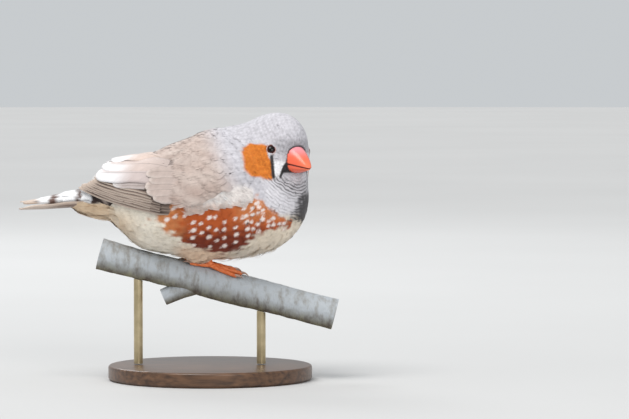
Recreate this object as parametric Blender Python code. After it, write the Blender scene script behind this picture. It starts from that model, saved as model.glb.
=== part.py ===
"""Life-size zebra finch, perched along a cut length of branch on a plain display stand.

The bird faces +X with its right side towards -Y and its head turned to its right.
+Z is up and the origin is on the floor under the middle of the base. Sizes are in
millimetres until an object is made.
"""

import math
import random

import bmesh
import bpy
import numpy as np
from mathutils import Vector

MM = 0.001
GAP = 0.3
HALF_GAP = GAP / 2

# The body as balls along its spine: x, z, radius seen from the side, half-width over radius
BODY_SPINE = (
    (-42.0, 60.0, 4.2, 1.25),
    (-34.7, 60.7, 7.0, 1.25),
    (-28.7, 61.6, 10.0, 1.12),
    (-18.3, 59.5, 14.8, 1.04),
    (-6.0, 60.3, 19.6, 0.93),
    (5.0, 61.6, 21.2, 0.89),
    (13.7, 61.2, 19.2, 0.87),
)
NECK_SPINE = (
    (8.3, 66.7, 16.6, 0.90),
    (15.0, 73.4, 12.6, 0.86),
    (19.3, 76.7, 11.2, 0.80),
)
SPINE_SAMPLES = 40
BLEND = 5.0

# The head, in its own frame: forward, left and up from the middle of the skull
HEAD_CENTRE = (24.0, -1.2, 78.6)
HEAD_TURN = 55.0
HEAD_PITCH = 4.0
HEAD_LUMPS = (
    ((0.0, 0.0, 0.0), (9.5, 7.6, 9.7)),
    ((-1.0, 2.6, -6.2), (8.2, 6.0, 7.6)),
    ((-1.0, -2.6, -6.2), (8.2, 6.0, 7.6)),
    ((3.6, 0.0, -5.2), (5.4, 5.2, 6.0)),
)
HEAD_BLEND = 3.0

# The bill, from its root inside the face to its tip
BILL_ROOT = 6.2
BILL_TIP = 16.6
BILL_LINE = -5.6
BILL_DROOP = 1.0
BILL_HALF_WIDTH = 4.85
BILL_UPPER_DEPTH = 6.4
BILL_LOWER_DEPTH = 3.6
BILL_RINGS = 9
BILL_SIDES = 12
NOSTRIL_RADIUS = 0.55

EYE_RADIUS = 2.1
EYE_PLACE = (3.6, 7.0, -2.2)
EYE_PROUD = 0.75
LID_RADIUS = 2.0
LID_THICKNESS = 0.45

# Cuts between head, neck, torso and tail
NECK_CUT_NORMAL = Vector((0.45, -0.66, 0.60)).normalized()
NECK_CUT_POINT = Vector((7.0, 0.0, 85.0))
NECK_LENGTH = 5.0
TAIL_CUT_X = -36.0

# The folded wings lie on this second chain of balls, which runs out over the rump
WING_SPINE = (
    (-47.0, 62.4, 4.2, 1.50),
    (-38.0, 62.8, 7.2, 1.34),
    (-29.5, 62.4, 10.2, 1.20),
    (-18.3, 59.9, 15.0, 1.06),
    (-6.0, 60.3, 19.65, 0.935),
    (5.0, 61.6, 21.25, 0.895),
    (13.7, 61.2, 19.25, 0.875),
)
VANE_THICKNESS = 0.55
RACHIS_HEIGHT = 0.25
VANE_RISE = 0.07
VANE_STEPS = 6
ROOT_SHARE = 0.3
TIP_CROWDING = 1.6

# Each tier of a wing: name, count, root of the first and last vane, tip of the first and
# last vane, half-width, height over the wing's bed, bluntness of the tip. Roots and tips
# are x and z, as seen from the side.
WING_TIERS = (
    ("primary", 7, (-1.0, 58.6), (-4.0, 64.5), (-43.8, 64.0), (-38.5, 66.6), 2.5, 0.30, 0.5),
    ("secondary", 5, (-2.0, 62.5), (-3.0, 69.5), (-33.5, 66.2), (-35.0, 70.0), 2.5, 0.70, 0.75),
    ("tertial", 3, (-4.0, 66.5), (-6.0, 73.5), (-37.6, 67.8), (-32.7, 73.2), 3.1, 1.15, 0.8),
    ("greater_covert", 7, (4.0, 61.5), (0.0, 74.0), (-16.5, 60.2), (-20.0, 71.8), 2.4, 1.45, 0.8),
    ("median_covert", 6, (9.0, 63.0), (6.0, 75.5), (-7.5, 60.8), (-11.5, 72.8), 2.6, 1.80, 0.82),
    ("scapular", 4, (9.5, 73.0), (8.0, 79.0), (-13.5, 69.2), (-18.5, 75.4), 3.4, 2.05, 0.85),
)
WING_ARM_CENTRE = (-1.0, 34.0)
WING_ARM_REACH = (15.5, 37.0)
WING_ARM_BULGE = 2.6
WING_ARM_RIM = 0.8
WING_ARM_RINGS = 5
WING_ARM_SIDES = 22

# The tail
TAIL_ROOT = (-40.0, 59.6)
TAIL_END = (-63.0, 58.0)
TAIL_ARCH = (3.7, 2.9)
RECTRICES = 12
RECTRIX_SPREAD = 76.0
RECTRIX_HALF_WIDTH = 2.1
OUTER_RECTRIX_SHORTER = 2.6
# How high the tail feathers lie: the middle pair, how far the outer ones sink under it, and
# the coverts above and below, with the step from one tier to the next
RECTRIX_LIFT = 0.1
RECTRIX_SINK = 0.75
UPPER_LIFT = 0.55
UNDER_LIFT = 0.1
TIER_LIFT = 0.35
RECTRIX_START = -38.5
COVERT_START = -37.2
COVERT_SHORTER = 1.5
TAIL_DROP = 0.9
TAIL_ROOT_INSET = 3.0
UNDER_FLATNESS = 0.55
# Each tier of coverts: how many, how far round the tail, tip as x, half-width
UPPER_COVERTS = (
    (4, 52.0, -58.0, 1.9),
    (5, 62.0, -51.0, 2.2),
    (6, 70.0, -44.5, 2.3),
)
UNDER_COVERTS = (
    (3, 42.0, -49.0, 2.3),
    (4, 58.0, -44.0, 2.6),
)

# The perch, an inclined length of branch
PERCH_RADIUS = 5.5
PERCH_SLOPE = 14.4
PERCH_MIDDLE = Vector((0.0, 0.0, 32.5))
PERCH_BACK = -38.0
PERCH_FRONT = 43.0
PERCH_STEP = 6.0
PERCH_SIDES = 20
# Swellings of the branch: how far, how often round it, how fast along it, where they begin
SWELLINGS = ((0.176, 0, 0.13, 1.2), (0.104, 2, 0.09, 0.0), (0.064, 3, -0.21, 0.0))
SWELL_ROOM = 0.35
TWIG_AT = -4.0
TWIG_RADIUS = 2.9
TWIG_LENGTH = 12.5
TWIG_ANGLE = 38.0

# Legs and feet
TARSUS_RADIUS = 1.0
TARSUS_RISE = (-3.5, 8.0)
TOE_RADIUS = 0.78
CLAW_RADIUS = 0.5
CLAW_LENGTH = 3.0
TOE_SIDES = 7
# Each foot: side, place along the perch, turn of its root round the perch
FEET = (
    ("leg_right", -1, -1.2, 30.0),
    ("leg_left", 1, -3.4, 32.0),
)
# Each toe: run along the perch, turn round the perch
TOES = ((9.2, 14.0), (10.8, -5.0), (8.4, -27.0), (-6.8, 8.0))

# The display stand
BASE_RADIUS = 34.0
BASE_THICKNESS = 5.0
BASE_CHAMFER = 0.8
BASE_SIDES = 56
ROD_RADIUS = 1.5
ROD_TOP_SLOPE = 0.2
RODS = (("stand_rod_back", -24.0), ("stand_rod_front", 17.0))

COLOURS = {
    "fawn": ((0.62, 0.52, 0.45), 0.85, 0.0),
    "grey": ((0.60, 0.58, 0.57), 0.85, 0.0),
    "tail_brown": ((0.42, 0.33, 0.27), 0.8, 0.0),
    "bill_red": ((0.80, 0.16, 0.09), 0.35, 0.0),
    "leg_orange": ((0.85, 0.33, 0.12), 0.5, 0.0),
    "eye_dark": ((0.03, 0.012, 0.01), 0.08, 0.0),
    "bark": ((0.56, 0.54, 0.50), 0.85, 0.0),
    "base_wood": ((0.12, 0.07, 0.045), 0.45, 0.0),
    "rod_metal": ((0.55, 0.50, 0.42), 0.35, 1.0),
}


def clear_scene():
    for old in list(bpy.data.objects):
        bpy.data.objects.remove(old, do_unlink=True)


def unit(v):
    return v / np.maximum(np.linalg.norm(v, axis=-1, keepdims=True), 1e-9)


def eased(q):
    return q * q * (3 - 2 * q)


# Smooth solid forms as distance functions


def smooth_chain(rows, samples=SPINE_SAMPLES):
    """Rows of a spine, filled in between by a Catmull-Rom curve."""
    rows = np.array(rows, float)
    ends = np.vstack([2 * rows[0] - rows[1], rows, 2 * rows[-1] - rows[-2]])
    place = np.linspace(0, len(rows) - 1, samples)
    k = np.minimum(place.astype(int), len(rows) - 2)
    t = (place - k)[:, None]
    a, b, c, d = ends[k], ends[k + 1], ends[k + 2], ends[k + 3]
    return 0.5 * (2 * b + (c - a) * t + (2 * a - 5 * b + 4 * c - d) * t**2 + (3 * b - a - 3 * c + d) * t**3)


def chain_distance(points, chain):
    """Distance from points to the skin round a chain of balls, below zero inside."""
    best = np.full(len(points), 1e9)
    for x, z, radius, wide in chain:
        offset = (points - (x, 0.0, z)) / (1.0, wide, 1.0)
        best = np.minimum(best, np.linalg.norm(offset, axis=1) - radius)
    return best


def lump_distance(points, centre, radii):
    """Distance from points to an ellipsoid, nearly."""
    local = (points - centre) / radii
    near = np.linalg.norm(local, axis=1)
    slope = np.linalg.norm(local / radii, axis=1)
    return near * (near - 1) / np.maximum(slope, 1e-6)


def joined(a, b, blend):
    """The union of two forms, with the crease between them filled."""
    h = np.maximum(blend - np.abs(a - b), 0) / blend
    return np.minimum(a, b) - h * h * blend / 4


BODY_BALLS = smooth_chain(BODY_SPINE)
NECK_BALLS = smooth_chain(NECK_SPINE, 16)
WING_BALLS = smooth_chain(WING_SPINE)


def head_axes():
    """Forward, left and up of the turned and pitched head."""
    turn, pitch = math.radians(HEAD_TURN), math.radians(HEAD_PITCH)
    level = np.array((math.cos(turn), -math.sin(turn), 0.0))
    up = np.array((0.0, 0.0, 1.0))
    forward = level * math.cos(pitch) - up * math.sin(pitch)
    left = np.cross(up, level)
    return np.array((forward, left, np.cross(forward, left)))


HEAD_AXES = head_axes()


def from_head(places):
    return np.asarray(places, float) @ HEAD_AXES + HEAD_CENTRE


def to_head(points):
    return (points - HEAD_CENTRE) @ HEAD_AXES.T


def head_distance(points):
    local = to_head(points)
    whole = None
    for centre, radii in HEAD_LUMPS:
        lump = lump_distance(local, np.array(centre), np.array(radii))
        whole = lump if whole is None else joined(whole, lump, HEAD_BLEND)
    return whole


def flesh(points):
    """The whole bird without wings, bill, legs and tail feathers."""
    trunk = joined(chain_distance(points, BODY_BALLS), chain_distance(points, NECK_BALLS), BLEND)
    return joined(trunk, head_distance(points), BLEND)


def wing_bed(points):
    """The form that a folded wing lies on: the flesh, and a fuller rump and back."""
    return joined(chain_distance(points, WING_BALLS), flesh(points), 2.0)


def slope_of(form, points, step=0.05):
    """Outward direction of a form at points."""
    grad = np.empty_like(points)
    for axis in range(3):
        shift = np.zeros(3)
        shift[axis] = step
        grad[:, axis] = form(points + shift) - form(points - shift)
    return unit(grad)


def settled(form, points, level, rounds=6):
    """Points moved onto the surface that lies level above a form."""
    points = np.array(points, float)
    for _ in range(rounds):
        points = points - slope_of(form, points) * (form(points) - level)[:, None]
    return points


def reached(form, starts, directions, level, longest):
    """Where rays from inside a form come out through it."""
    near, far = np.zeros(len(starts)), np.full(len(starts), longest)
    for _ in range(24):
        middle = (near + far) / 2
        inside = form(starts + directions * middle[:, None]) < level
        near, far = np.where(inside, middle, near), np.where(inside, far, middle)
    return starts + directions * near[:, None]


# Meshes


def new_object(name, points, faces, colour=None, smooth=True):
    mesh = bpy.data.meshes.new(name)
    mesh.from_pydata([tuple(p) for p in np.asarray(points, float) * MM], [], [tuple(f) for f in faces])
    mesh.validate()
    outward(mesh)
    if smooth:
        mesh.shade_smooth()
        mesh.set_sharp_from_angle(angle=math.radians(38))
    obj = bpy.data.objects.new(name, mesh)
    bpy.context.scene.collection.objects.link(obj)
    if colour:
        paint(obj, colour)
    return obj


def outward(mesh):
    bm = bmesh.new()
    bm.from_mesh(mesh)
    bmesh.ops.recalc_face_normals(bm, faces=bm.faces)
    if bm.calc_volume(signed=True) < 0:
        bmesh.ops.reverse_faces(bm, faces=bm.faces)
    bm.to_mesh(mesh)
    bm.free()


def paint(obj, colour):
    rgb, roughness, metallic = COLOURS[colour]
    material = bpy.data.materials.get(colour) or bpy.data.materials.new(colour)
    material.use_nodes = True
    shader = material.node_tree.nodes["Principled BSDF"]
    shader.inputs["Base Color"].default_value = (*rgb, 1.0)
    shader.inputs["Roughness"].default_value = roughness
    shader.inputs["Metallic"].default_value = metallic
    obj.data.materials.clear()
    obj.data.materials.append(material)


def lofted(rings, capped=True):
    """Points and faces of a skin over rings with the same number of points."""
    count = len(rings[0])
    faces = []
    for i in range(len(rings) - 1):
        for j in range(count):
            k = (j + 1) % count
            faces.append((i * count + j, i * count + k, (i + 1) * count + k, (i + 1) * count + j))
    if capped:
        last = (len(rings) - 1) * count
        faces.append(tuple(range(count)))
        faces.append(tuple(last + j for j in range(count)))
    return np.vstack(rings), faces


def ball_mesh(form, centre, level, longest, rings, sides, axis, stretch=0.0):
    """A closed skin found by rays from a centre, or from a short line along its axis."""
    axis = unit(np.array(axis, float))
    across = unit(np.cross(axis, (0.0, 1.0, 0.001)))
    third = np.cross(axis, across)
    starts, directions = [], []
    for i in range(rings + 1):
        tilt = math.pi * i / rings
        for j in range(1 if i in (0, rings) else sides):
            turn = 2 * math.pi * j / sides
            side = across * math.cos(turn) + third * math.sin(turn)
            directions.append(axis * math.cos(tilt) + side * math.sin(tilt))
            starts.append(np.array(centre) + axis * stretch * math.cos(tilt))
    points = reached(form, np.array(starts), np.array(directions), level, longest)
    faces = []
    for j in range(sides):
        k = (j + 1) % sides
        faces.append((0, 1 + j, 1 + k))
        for i in range(rings - 2):
            a = 1 + i * sides
            faces.append((a + j, a + sides + j, a + sides + k, a + k))
        a = 1 + (rings - 2) * sides
        faces.append((a + j, len(points) - 1, a + k))
    return points, faces


def tube(path, radii, sides, flat=1.0):
    """Rings round a path, each with its own radius; flat squeezes them in height."""
    path = np.array(path, float)
    along = unit(np.gradient(path, axis=0))
    rings = []
    side = unit(np.cross(along[0], (0.0, 1.0, 0.0)))
    for point, way, radius in zip(path, along, radii):
        side = unit(side - way * np.dot(side, way))
        up = np.cross(side, way)
        turns = np.arange(sides) * 2 * math.pi / sides
        rings.append(point + radius * (np.outer(np.cos(turns), side) + np.outer(np.sin(turns) * flat, up)))
    return rings


def keep_side(obj, point, normal):
    """Cuts an object with a plane and keeps what the normal points away from."""
    bm = bmesh.new()
    bm.from_mesh(obj.data)
    everything = bm.verts[:] + bm.edges[:] + bm.faces[:]
    cut = bmesh.ops.bisect_plane(
        bm, geom=everything, plane_co=Vector(point) * MM, plane_no=Vector(normal), dist=1e-7, clear_outer=True
    )
    rim = [e for e in cut["geom_cut"] if isinstance(e, bmesh.types.BMEdge)]
    bmesh.ops.holes_fill(bm, edges=rim)
    bm.to_mesh(obj.data)
    bm.free()
    outward(obj.data)


def apply_boolean(obj, operation, others, solver="EXACT"):
    """One Boolean with a collection of closed pieces, which are then removed."""
    pieces = bpy.data.collections.new("pieces")
    bpy.context.scene.collection.children.link(pieces)
    for other in others:
        bpy.context.scene.collection.objects.unlink(other)
        pieces.objects.link(other)
    modifier = obj.modifiers.new("join", "BOOLEAN")
    modifier.operation = operation
    modifier.solver = solver
    modifier.operand_type = "COLLECTION"
    modifier.collection = pieces
    graph = bpy.context.evaluated_depsgraph_get()
    mesh = bpy.data.meshes.new_from_object(obj.evaluated_get(graph))
    obj.modifiers.clear()
    obj.data = mesh
    for other in list(pieces.objects):
        bpy.data.objects.remove(other, do_unlink=True)
    bpy.data.collections.remove(pieces)
    keep_largest(obj.data)


def keep_largest(mesh):
    """Drops loose scraps and sealed hollows."""
    bm = bmesh.new()
    bm.from_mesh(mesh)
    bmesh.ops.triangulate(bm, faces=bm.faces)
    unseen, shells = set(bm.faces), []
    while unseen:
        stack, shell = [unseen.pop()], []
        while stack:
            face = stack.pop()
            shell.append(face)
            for edge in face.edges:
                for other in edge.link_faces:
                    if other in unseen:
                        unseen.remove(other)
                        stack.append(other)
        shells.append(shell)
    shells.sort(key=len)
    for shell in shells[:-1]:
        bmesh.ops.delete(bm, geom=shell, context="FACES")
    bm.to_mesh(mesh)
    bm.free()


# Head, neck and torso


def cut_plane(shift):
    """A point of the cut between head and neck, moved along the neck."""
    return NECK_CUT_POINT + NECK_CUT_NORMAL * shift


def make_torso():
    points, faces = ball_mesh(flesh, (-9.0, 0.0, 61.0), 0.0, 34.0, 30, 30, (1, 0, 0.05), 21.0)
    torso = new_object("torso", points, faces, "fawn")
    keep_side(torso, cut_plane(-NECK_LENGTH - HALF_GAP), NECK_CUT_NORMAL)
    keep_side(torso, (TAIL_CUT_X + HALF_GAP, 0, 0), (-1, 0, 0))
    return torso


def make_neck():
    normal = np.array(NECK_CUT_NORMAL)
    middle = np.array((17.0, -3.0, 74.0))
    middle = middle - normal * np.dot(middle - np.array(NECK_CUT_POINT), normal)
    across = unit(np.cross(normal, (0.0, 0.0, 1.0)))
    third = np.cross(normal, across)
    turns = np.arange(30) * 2 * math.pi / 30
    ways = np.outer(np.cos(turns), across) + np.outer(np.sin(turns), third)
    rings = []
    for shift in np.linspace(-NECK_LENGTH + HALF_GAP, -HALF_GAP, 5):
        starts = np.tile(middle + normal * shift, (len(ways), 1))
        rings.append(reached(flesh, starts, ways, 0.0, 30.0))
    return new_object("neck", *lofted(rings), "grey")


def bill_profile(t, half):
    """Half-width and depth of one half of the bill, from its root at 0 to its tip at 1."""
    depth = BILL_UPPER_DEPTH if half > 0 else BILL_LOWER_DEPTH
    width = BILL_HALF_WIDTH * (1 - t) ** 0.62 + 0.22
    return width, depth * (1 - t**1.35) ** 0.85 + 0.25


def bill_half(half, grown=0.0):
    """Rings of the upper half (1) or lower half (-1), each a half oval on the mouth line."""
    root, tip = BILL_ROOT - grown, BILL_TIP - (0.5 if half < 0 else 0.0)
    rings = []
    for t in 1 - (1 - np.linspace(0, 1, BILL_RINGS)) ** 1.3:
        width, depth = bill_profile(t, half)
        forward = root + (tip - root) * t + (grown if t == 1 else 0.0)
        line = BILL_LINE - BILL_DROOP * t * t
        turns = np.linspace(0, math.pi, BILL_SIDES)
        side = (width + grown) * np.cos(turns)
        height = (depth + 2 * grown) * np.sin(turns) ** 0.85 + HALF_GAP - grown
        rings.append(from_head([(forward, s, line + half * h) for s, h in zip(side, height)]))
    return rings


def make_bill():
    upper = new_object("bill_upper", *lofted(bill_half(1)), "bill_red")
    new_object("bill_lower", *lofted(bill_half(-1)), "bill_red")
    nostrils = []
    for side in (-1, 1):
        place = from_head([(BILL_ROOT + 2.3, side * 2.9, BILL_LINE + 4.6)])[0]
        nostrils.append(ball("nostril", place, NOSTRIL_RADIUS, 6, 8))
    apply_boolean(upper, "DIFFERENCE", nostrils)


def ball(name, centre, radius, rings, sides, colour=None):
    def form(points):
        return np.linalg.norm(points - centre, axis=1) - radius

    points, faces = ball_mesh(form, centre, 0.0, radius * 2, rings, sides, (0, 0, 1))
    return new_object(name, points, faces, colour)


def eye_centre(side):
    """The middle of an eye, and the way that it looks. Side is 1 on the left."""
    place = from_head([(EYE_PLACE[0], side * EYE_PLACE[1], EYE_PLACE[2])])
    place = settled(flesh, place, 0.0)
    way = slope_of(flesh, place)[0]
    return place[0] + way * (EYE_PROUD - EYE_RADIUS), way


def lid_ring(side):
    """The rim of bare skin that frames an eye."""
    centre, way = eye_centre(side)
    across = unit(np.cross(way, (0.0, 0.0, 1.0)))
    third = np.cross(way, across)
    rise = math.sqrt((EYE_RADIUS + LID_THICKNESS * 0.7) ** 2 - LID_RADIUS**2)
    rings = []
    for turn in np.arange(20) * 2 * math.pi / 20:
        out = across * math.cos(turn) + third * math.sin(turn)
        around = np.arange(8) * 2 * math.pi / 8
        middle = centre + way * rise + out * LID_RADIUS
        rings.append(middle + LID_THICKNESS * (np.outer(np.cos(around), out) + np.outer(np.sin(around), way)))
    points, faces = lofted(rings + rings[:1], capped=False)
    faces = [tuple(i % (20 * 8) for i in f) for f in faces]
    return new_object("lid", points[: 20 * 8], faces)


def make_head():
    points, faces = ball_mesh(flesh, HEAD_CENTRE, 0.0, 27.0, 22, 26, HEAD_AXES[0])
    head = new_object("head", points, faces, "grey")
    keep_side(head, cut_plane(HALF_GAP), -NECK_CUT_NORMAL)
    apply_boolean(head, "UNION", [lid_ring(-1), lid_ring(1)])
    sockets = [new_object("socket", *lofted(bill_half(half, GAP))) for half in (1, -1)]
    for side, name in ((-1, "eye_right"), (1, "eye_left")):
        centre = eye_centre(side)[0]
        sockets.append(ball("socket", centre, EYE_RADIUS + GAP, 10, 16))
        ball(name, centre, EYE_RADIUS, 10, 16, "eye_dark")
    apply_boolean(head, "DIFFERENCE", sockets, "MANIFOLD")
    paint(head, "grey")


# Vanes


def vane_places():
    """Shares of a vane's length at which it is shaped, closer together near its tip."""
    return 1 - (1 - np.linspace(0, 1, VANE_STEPS)) ** TIP_CROWDING


def vane_outline(q, blunt):
    """Half-width of a vane along its length, as a share of its widest."""
    root = 0.55 + 0.45 * eased(np.minimum(q / 0.45, 1))
    tip = np.sqrt(np.clip(1 - np.clip((q - blunt) / (1 - blunt), 0, 1) ** 2, 0, 1))
    return root * np.maximum(tip, 0.22)


def vane(name, middle, normals, half_width, blunt, form=None, level=0.0):
    """A thin feather vane: a flat strip with a low ridge along its middle. With a form,
    its underside lies that level above the form, edges too. The level may vary along it."""
    count = len(middle)
    along = unit(np.gradient(middle, axis=0))
    side = unit(np.cross(along, normals))
    width = (half_width * vane_outline(vane_places(), blunt))[:, None]
    edges = [middle - side * width, middle + side * width]
    if form:
        edges = [settled(form, e, level, 4) for e in edges]
        middle = settled(form, middle, level, 4)
    thick = np.full((count, 1), VANE_THICKNESS)
    thick[-1] = 0.3
    ridge = middle + normals * (thick + RACHIS_HEIGHT)
    columns = [edges[0], edges[0] + normals * thick, ridge, edges[1] + normals * thick, edges[1]]
    points = np.stack(columns, axis=1).reshape(-1, 3)
    faces = []
    for i in range(count - 1):
        for j in range(5):
            k = (j + 1) % 5
            a, b, c, d = i * 5 + j, i * 5 + k, (i + 1) * 5 + k, (i + 1) * 5 + j
            faces += [(a, b, c), (a, c, d)] if j < 2 or j == 4 else [(a, b, d), (b, c, d)]
    last = (count - 1) * 5
    faces += [(0, 1, 2), (0, 2, 3), (0, 3, 4)]
    faces += [(last, last + 2, last + 1), (last, last + 3, last + 2), (last, last + 4, last + 3)]
    return new_object(name, points, faces)


def wing_angle(x, z):
    """The angle round the wing's bed of a place seen from the side."""
    middle = np.interp(x, WING_BALLS[:, 0], WING_BALLS[:, 1])
    radius = np.interp(x, WING_BALLS[:, 0], WING_BALLS[:, 2])
    return np.degrees(np.arcsin(np.clip((z - middle) / radius, -0.95, 0.95)))


def wing_place(x, angle, side, level):
    """Points over the bed of a wing, from places along and angles round it."""
    x, angle = np.asarray(x, float), np.radians(np.asarray(angle, float))
    z = np.interp(x, WING_BALLS[:, 0], WING_BALLS[:, 1])
    starts = np.stack([x, 0 * x, z], axis=1)
    ways = np.stack([0 * x, side * np.cos(angle), np.sin(angle)], axis=1)
    return reached(wing_bed, starts, ways, level, 40.0)


def wing_arm(name, side):
    """The covered arm of the wing, a low lens that the vanes grow from."""
    bottom, top = [], []
    for k in range(WING_ARM_RINGS + 1):
        share = k / WING_ARM_RINGS
        turns = np.arange(WING_ARM_SIDES) * 2 * math.pi / WING_ARM_SIDES
        x = WING_ARM_CENTRE[0] + share * WING_ARM_REACH[0] * np.cos(turns)
        angle = WING_ARM_CENTRE[1] + share * WING_ARM_REACH[1] * np.sin(turns)
        height = WING_ARM_RIM + (WING_ARM_BULGE - WING_ARM_RIM) * math.sqrt(1 - share**2)
        bottom.append(wing_place(x, angle, side, GAP + 0.05))
        top.append(wing_place(x, angle, side, GAP + height))
    rings = bottom[1:] + top[:0:-1]
    points, faces = lofted(rings, capped=False)
    count = len(points)
    points = np.vstack([points, bottom[0][:1], top[0][:1]])
    sides = WING_ARM_SIDES
    for j in range(sides):
        k = (j + 1) % sides
        faces.append((count, k, j))
        faces.append((count + 1, count - sides + j, count - sides + k))
    return new_object(name, points, faces, "fawn")


def tier_vanes(tier, side, rng):
    name, number, root_a, root_b, tip_a, tip_b, half_width, level, blunt = tier
    vanes = []
    for i in range(number):
        s = i / (number - 1)
        root = np.array(root_a) * (1 - s) + np.array(root_b) * s
        tip = np.array(tip_a) * (1 - s) + np.array(tip_b) * s
        tip = tip + (rng.uniform(-0.5, 0.5), rng.uniform(-0.2, 0.2))
        q = vane_places()
        x = root[0] + (tip[0] - root[0]) * q
        z = root[1] + (tip[1] - root[1]) * q
        sunk = eased(np.minimum(q / ROOT_SHARE, 1))
        height = GAP + 0.1 + (level - 0.1) * sunk + VANE_RISE * i
        middle = wing_place(x, wing_angle(x, z), side, height)
        normals = slope_of(wing_bed, middle)
        vanes.append(vane(name, middle, normals, half_width, blunt, wing_bed, height))
    return vanes


def make_wing(name, side):
    rng = random.Random(name)
    wing = wing_arm(name, side)
    vanes = []
    for tier in WING_TIERS:
        vanes += tier_vanes(tier, side, rng)
    apply_boolean(wing, "UNION", vanes, "MANIFOLD")
    paint(wing, "fawn")


# Tail


def tail_vane(name, turn, start_x, end_x, lift, half_width, under=False):
    """A vane along the tail, at a turn round the tail's arch from its top."""
    angle = math.radians(turn)
    q = vane_places()
    x = start_x + (end_x - start_x) * q
    z = np.interp(x, (TAIL_END[0], TAIL_ROOT[0]), (TAIL_END[1], TAIL_ROOT[1]))
    wide, high = TAIL_ARCH[0] + lift, TAIL_ARCH[1] + lift
    body = np.interp(x, BODY_BALLS[:8, 0], BODY_BALLS[:8, 2] - TAIL_ROOT_INSET, left=0.0)
    way = np.array((0.0, math.sin(angle), math.cos(angle) * (-1 if under else 1)))
    flatness = UNDER_FLATNESS if under else 1.0
    reach = np.outer(body, way) + np.array((0.0, wide * way[1], high * way[2] * flatness))
    middle = np.stack([x, 0 * x, z - TAIL_DROP], axis=1) + reach
    normals = np.tile(unit(way * (1.0, 1 / wide, 1 / high)), (len(x), 1))
    return vane(name, middle, normals, half_width, 0.72)


def make_tail():
    rings = []
    turns = np.arange(20) * 2 * math.pi / 20
    ways = np.stack([0 * turns, np.cos(turns), np.sin(turns)], axis=1)
    for x in np.linspace(TAIL_CUT_X - HALF_GAP, -45.0, 7):
        z = np.interp(x, BODY_BALLS[:, 0], BODY_BALLS[:, 1])
        rings.append(reached(flesh, np.tile((x, 0.0, z), (20, 1)), ways, 0.0, 20.0))
    tail = new_object("tail", *lofted(rings), "tail_brown")
    vanes = []
    for i in range(RECTRICES):
        s = 2 * i / (RECTRICES - 1) - 1
        end = TAIL_END[0] + OUTER_RECTRIX_SHORTER * abs(s)
        lift = RECTRIX_LIFT - RECTRIX_SINK * abs(s)
        turn = RECTRIX_SPREAD * s
        vanes.append(tail_vane("rectrix", turn, RECTRIX_START, end, lift, RECTRIX_HALF_WIDTH))
    for tiers, lift, under in ((UPPER_COVERTS, UPPER_LIFT, False), (UNDER_COVERTS, UNDER_LIFT, True)):
        for k, (number, spread, end, half_width) in enumerate(tiers):
            for i in range(number):
                s = 2 * i / (number - 1) - 1
                rise = lift + TIER_LIFT * k
                tip = end + COVERT_SHORTER * abs(s)
                vanes.append(tail_vane("covert", spread * s, COVERT_START, tip, rise, half_width, under))
    apply_boolean(tail, "UNION", vanes, "MANIFOLD")
    paint(tail, "tail_brown")


# Perch, feet and stand


def perch_axes():
    slope = math.radians(PERCH_SLOPE)
    along = np.array((math.cos(slope), 0.0, -math.sin(slope)))
    up = np.array((math.sin(slope), 0.0, math.cos(slope)))
    return along, up


def perch_place(s, turn, radius):
    """A point at a distance along the perch, a turn round it from its top, and a radius.
    Positive turns lean towards -Y."""
    along, up = perch_axes()
    turn = math.radians(turn)
    out = up * math.cos(turn) + np.array((0.0, -math.sin(turn), 0.0))
    return np.array(PERCH_MIDDLE) + along * s + out * radius


def perch_radius(s, turn):
    """The branch swells and thins a little, always inside its named radius."""
    turn = math.radians(turn)
    radius = PERCH_RADIUS - SWELL_ROOM
    for height, round_it, along_it, start in SWELLINGS:
        radius += height * math.sin(round_it * turn + along_it * s + start)
    return radius


def make_perch(grown=0.0):
    rings = []
    count = round((PERCH_FRONT - PERCH_BACK) / PERCH_STEP)
    for s in np.linspace(PERCH_BACK, PERCH_FRONT, count + 1):
        turns = np.arange(PERCH_SIDES) * 360 / PERCH_SIDES
        rings.append(np.array([perch_place(s, t, perch_radius(s, t) + grown) for t in turns]))
    perch = new_object("perch", *lofted(rings), "bark")
    along, up = perch_axes()
    angle = math.radians(TWIG_ANGLE)
    way = -along * math.cos(angle) - up * math.sin(angle)
    start = perch_place(TWIG_AT, 180, 1.0)
    path = [start + way * TWIG_LENGTH * q for q in np.linspace(0, 1, 5)]
    radii = TWIG_RADIUS * np.array((1.35, 1.2, 1.05, 1.0, 0.97)) + grown
    twig = new_object("twig", *lofted(tube(path, radii, 16)))
    apply_boolean(perch, "UNION", [twig])
    paint(perch, "bark")
    return perch


def toe(side, s0, turn0, run, turn):
    """One toe with its claw, bent over the perch."""
    count = 9
    q = np.linspace(0, 1, count)
    places, radii = [], []
    for share in q:
        s = s0 + run * share
        angle = turn0 + turn * share * (1.6 - 0.6 * share)
        pad = 1 + 0.09 * math.cos(share * 6 * math.pi)
        radius = TOE_RADIUS * (1 - 0.22 * share) * pad
        rise = 0.35 * (1 - share) ** 2
        places.append(perch_place(s, -side * angle, PERCH_RADIUS + GAP + radius + rise))
        radii.append(radius)
    claw_turn = turn0 + turn
    for share in (0.12, 0.4, 0.7, 1.0):
        s = s0 + run + math.copysign(CLAW_LENGTH * share, run)
        arch = 0.5 * math.sin(share * math.pi)
        radius = CLAW_RADIUS * (1 - 0.72 * share)
        places.append(perch_place(s, -side * claw_turn, PERCH_RADIUS + GAP + 0.55 + arch - 0.1 * share))
        radii.append(radius)
    return new_object("toe", *lofted(tube(places, radii, TOE_SIDES)))


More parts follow.
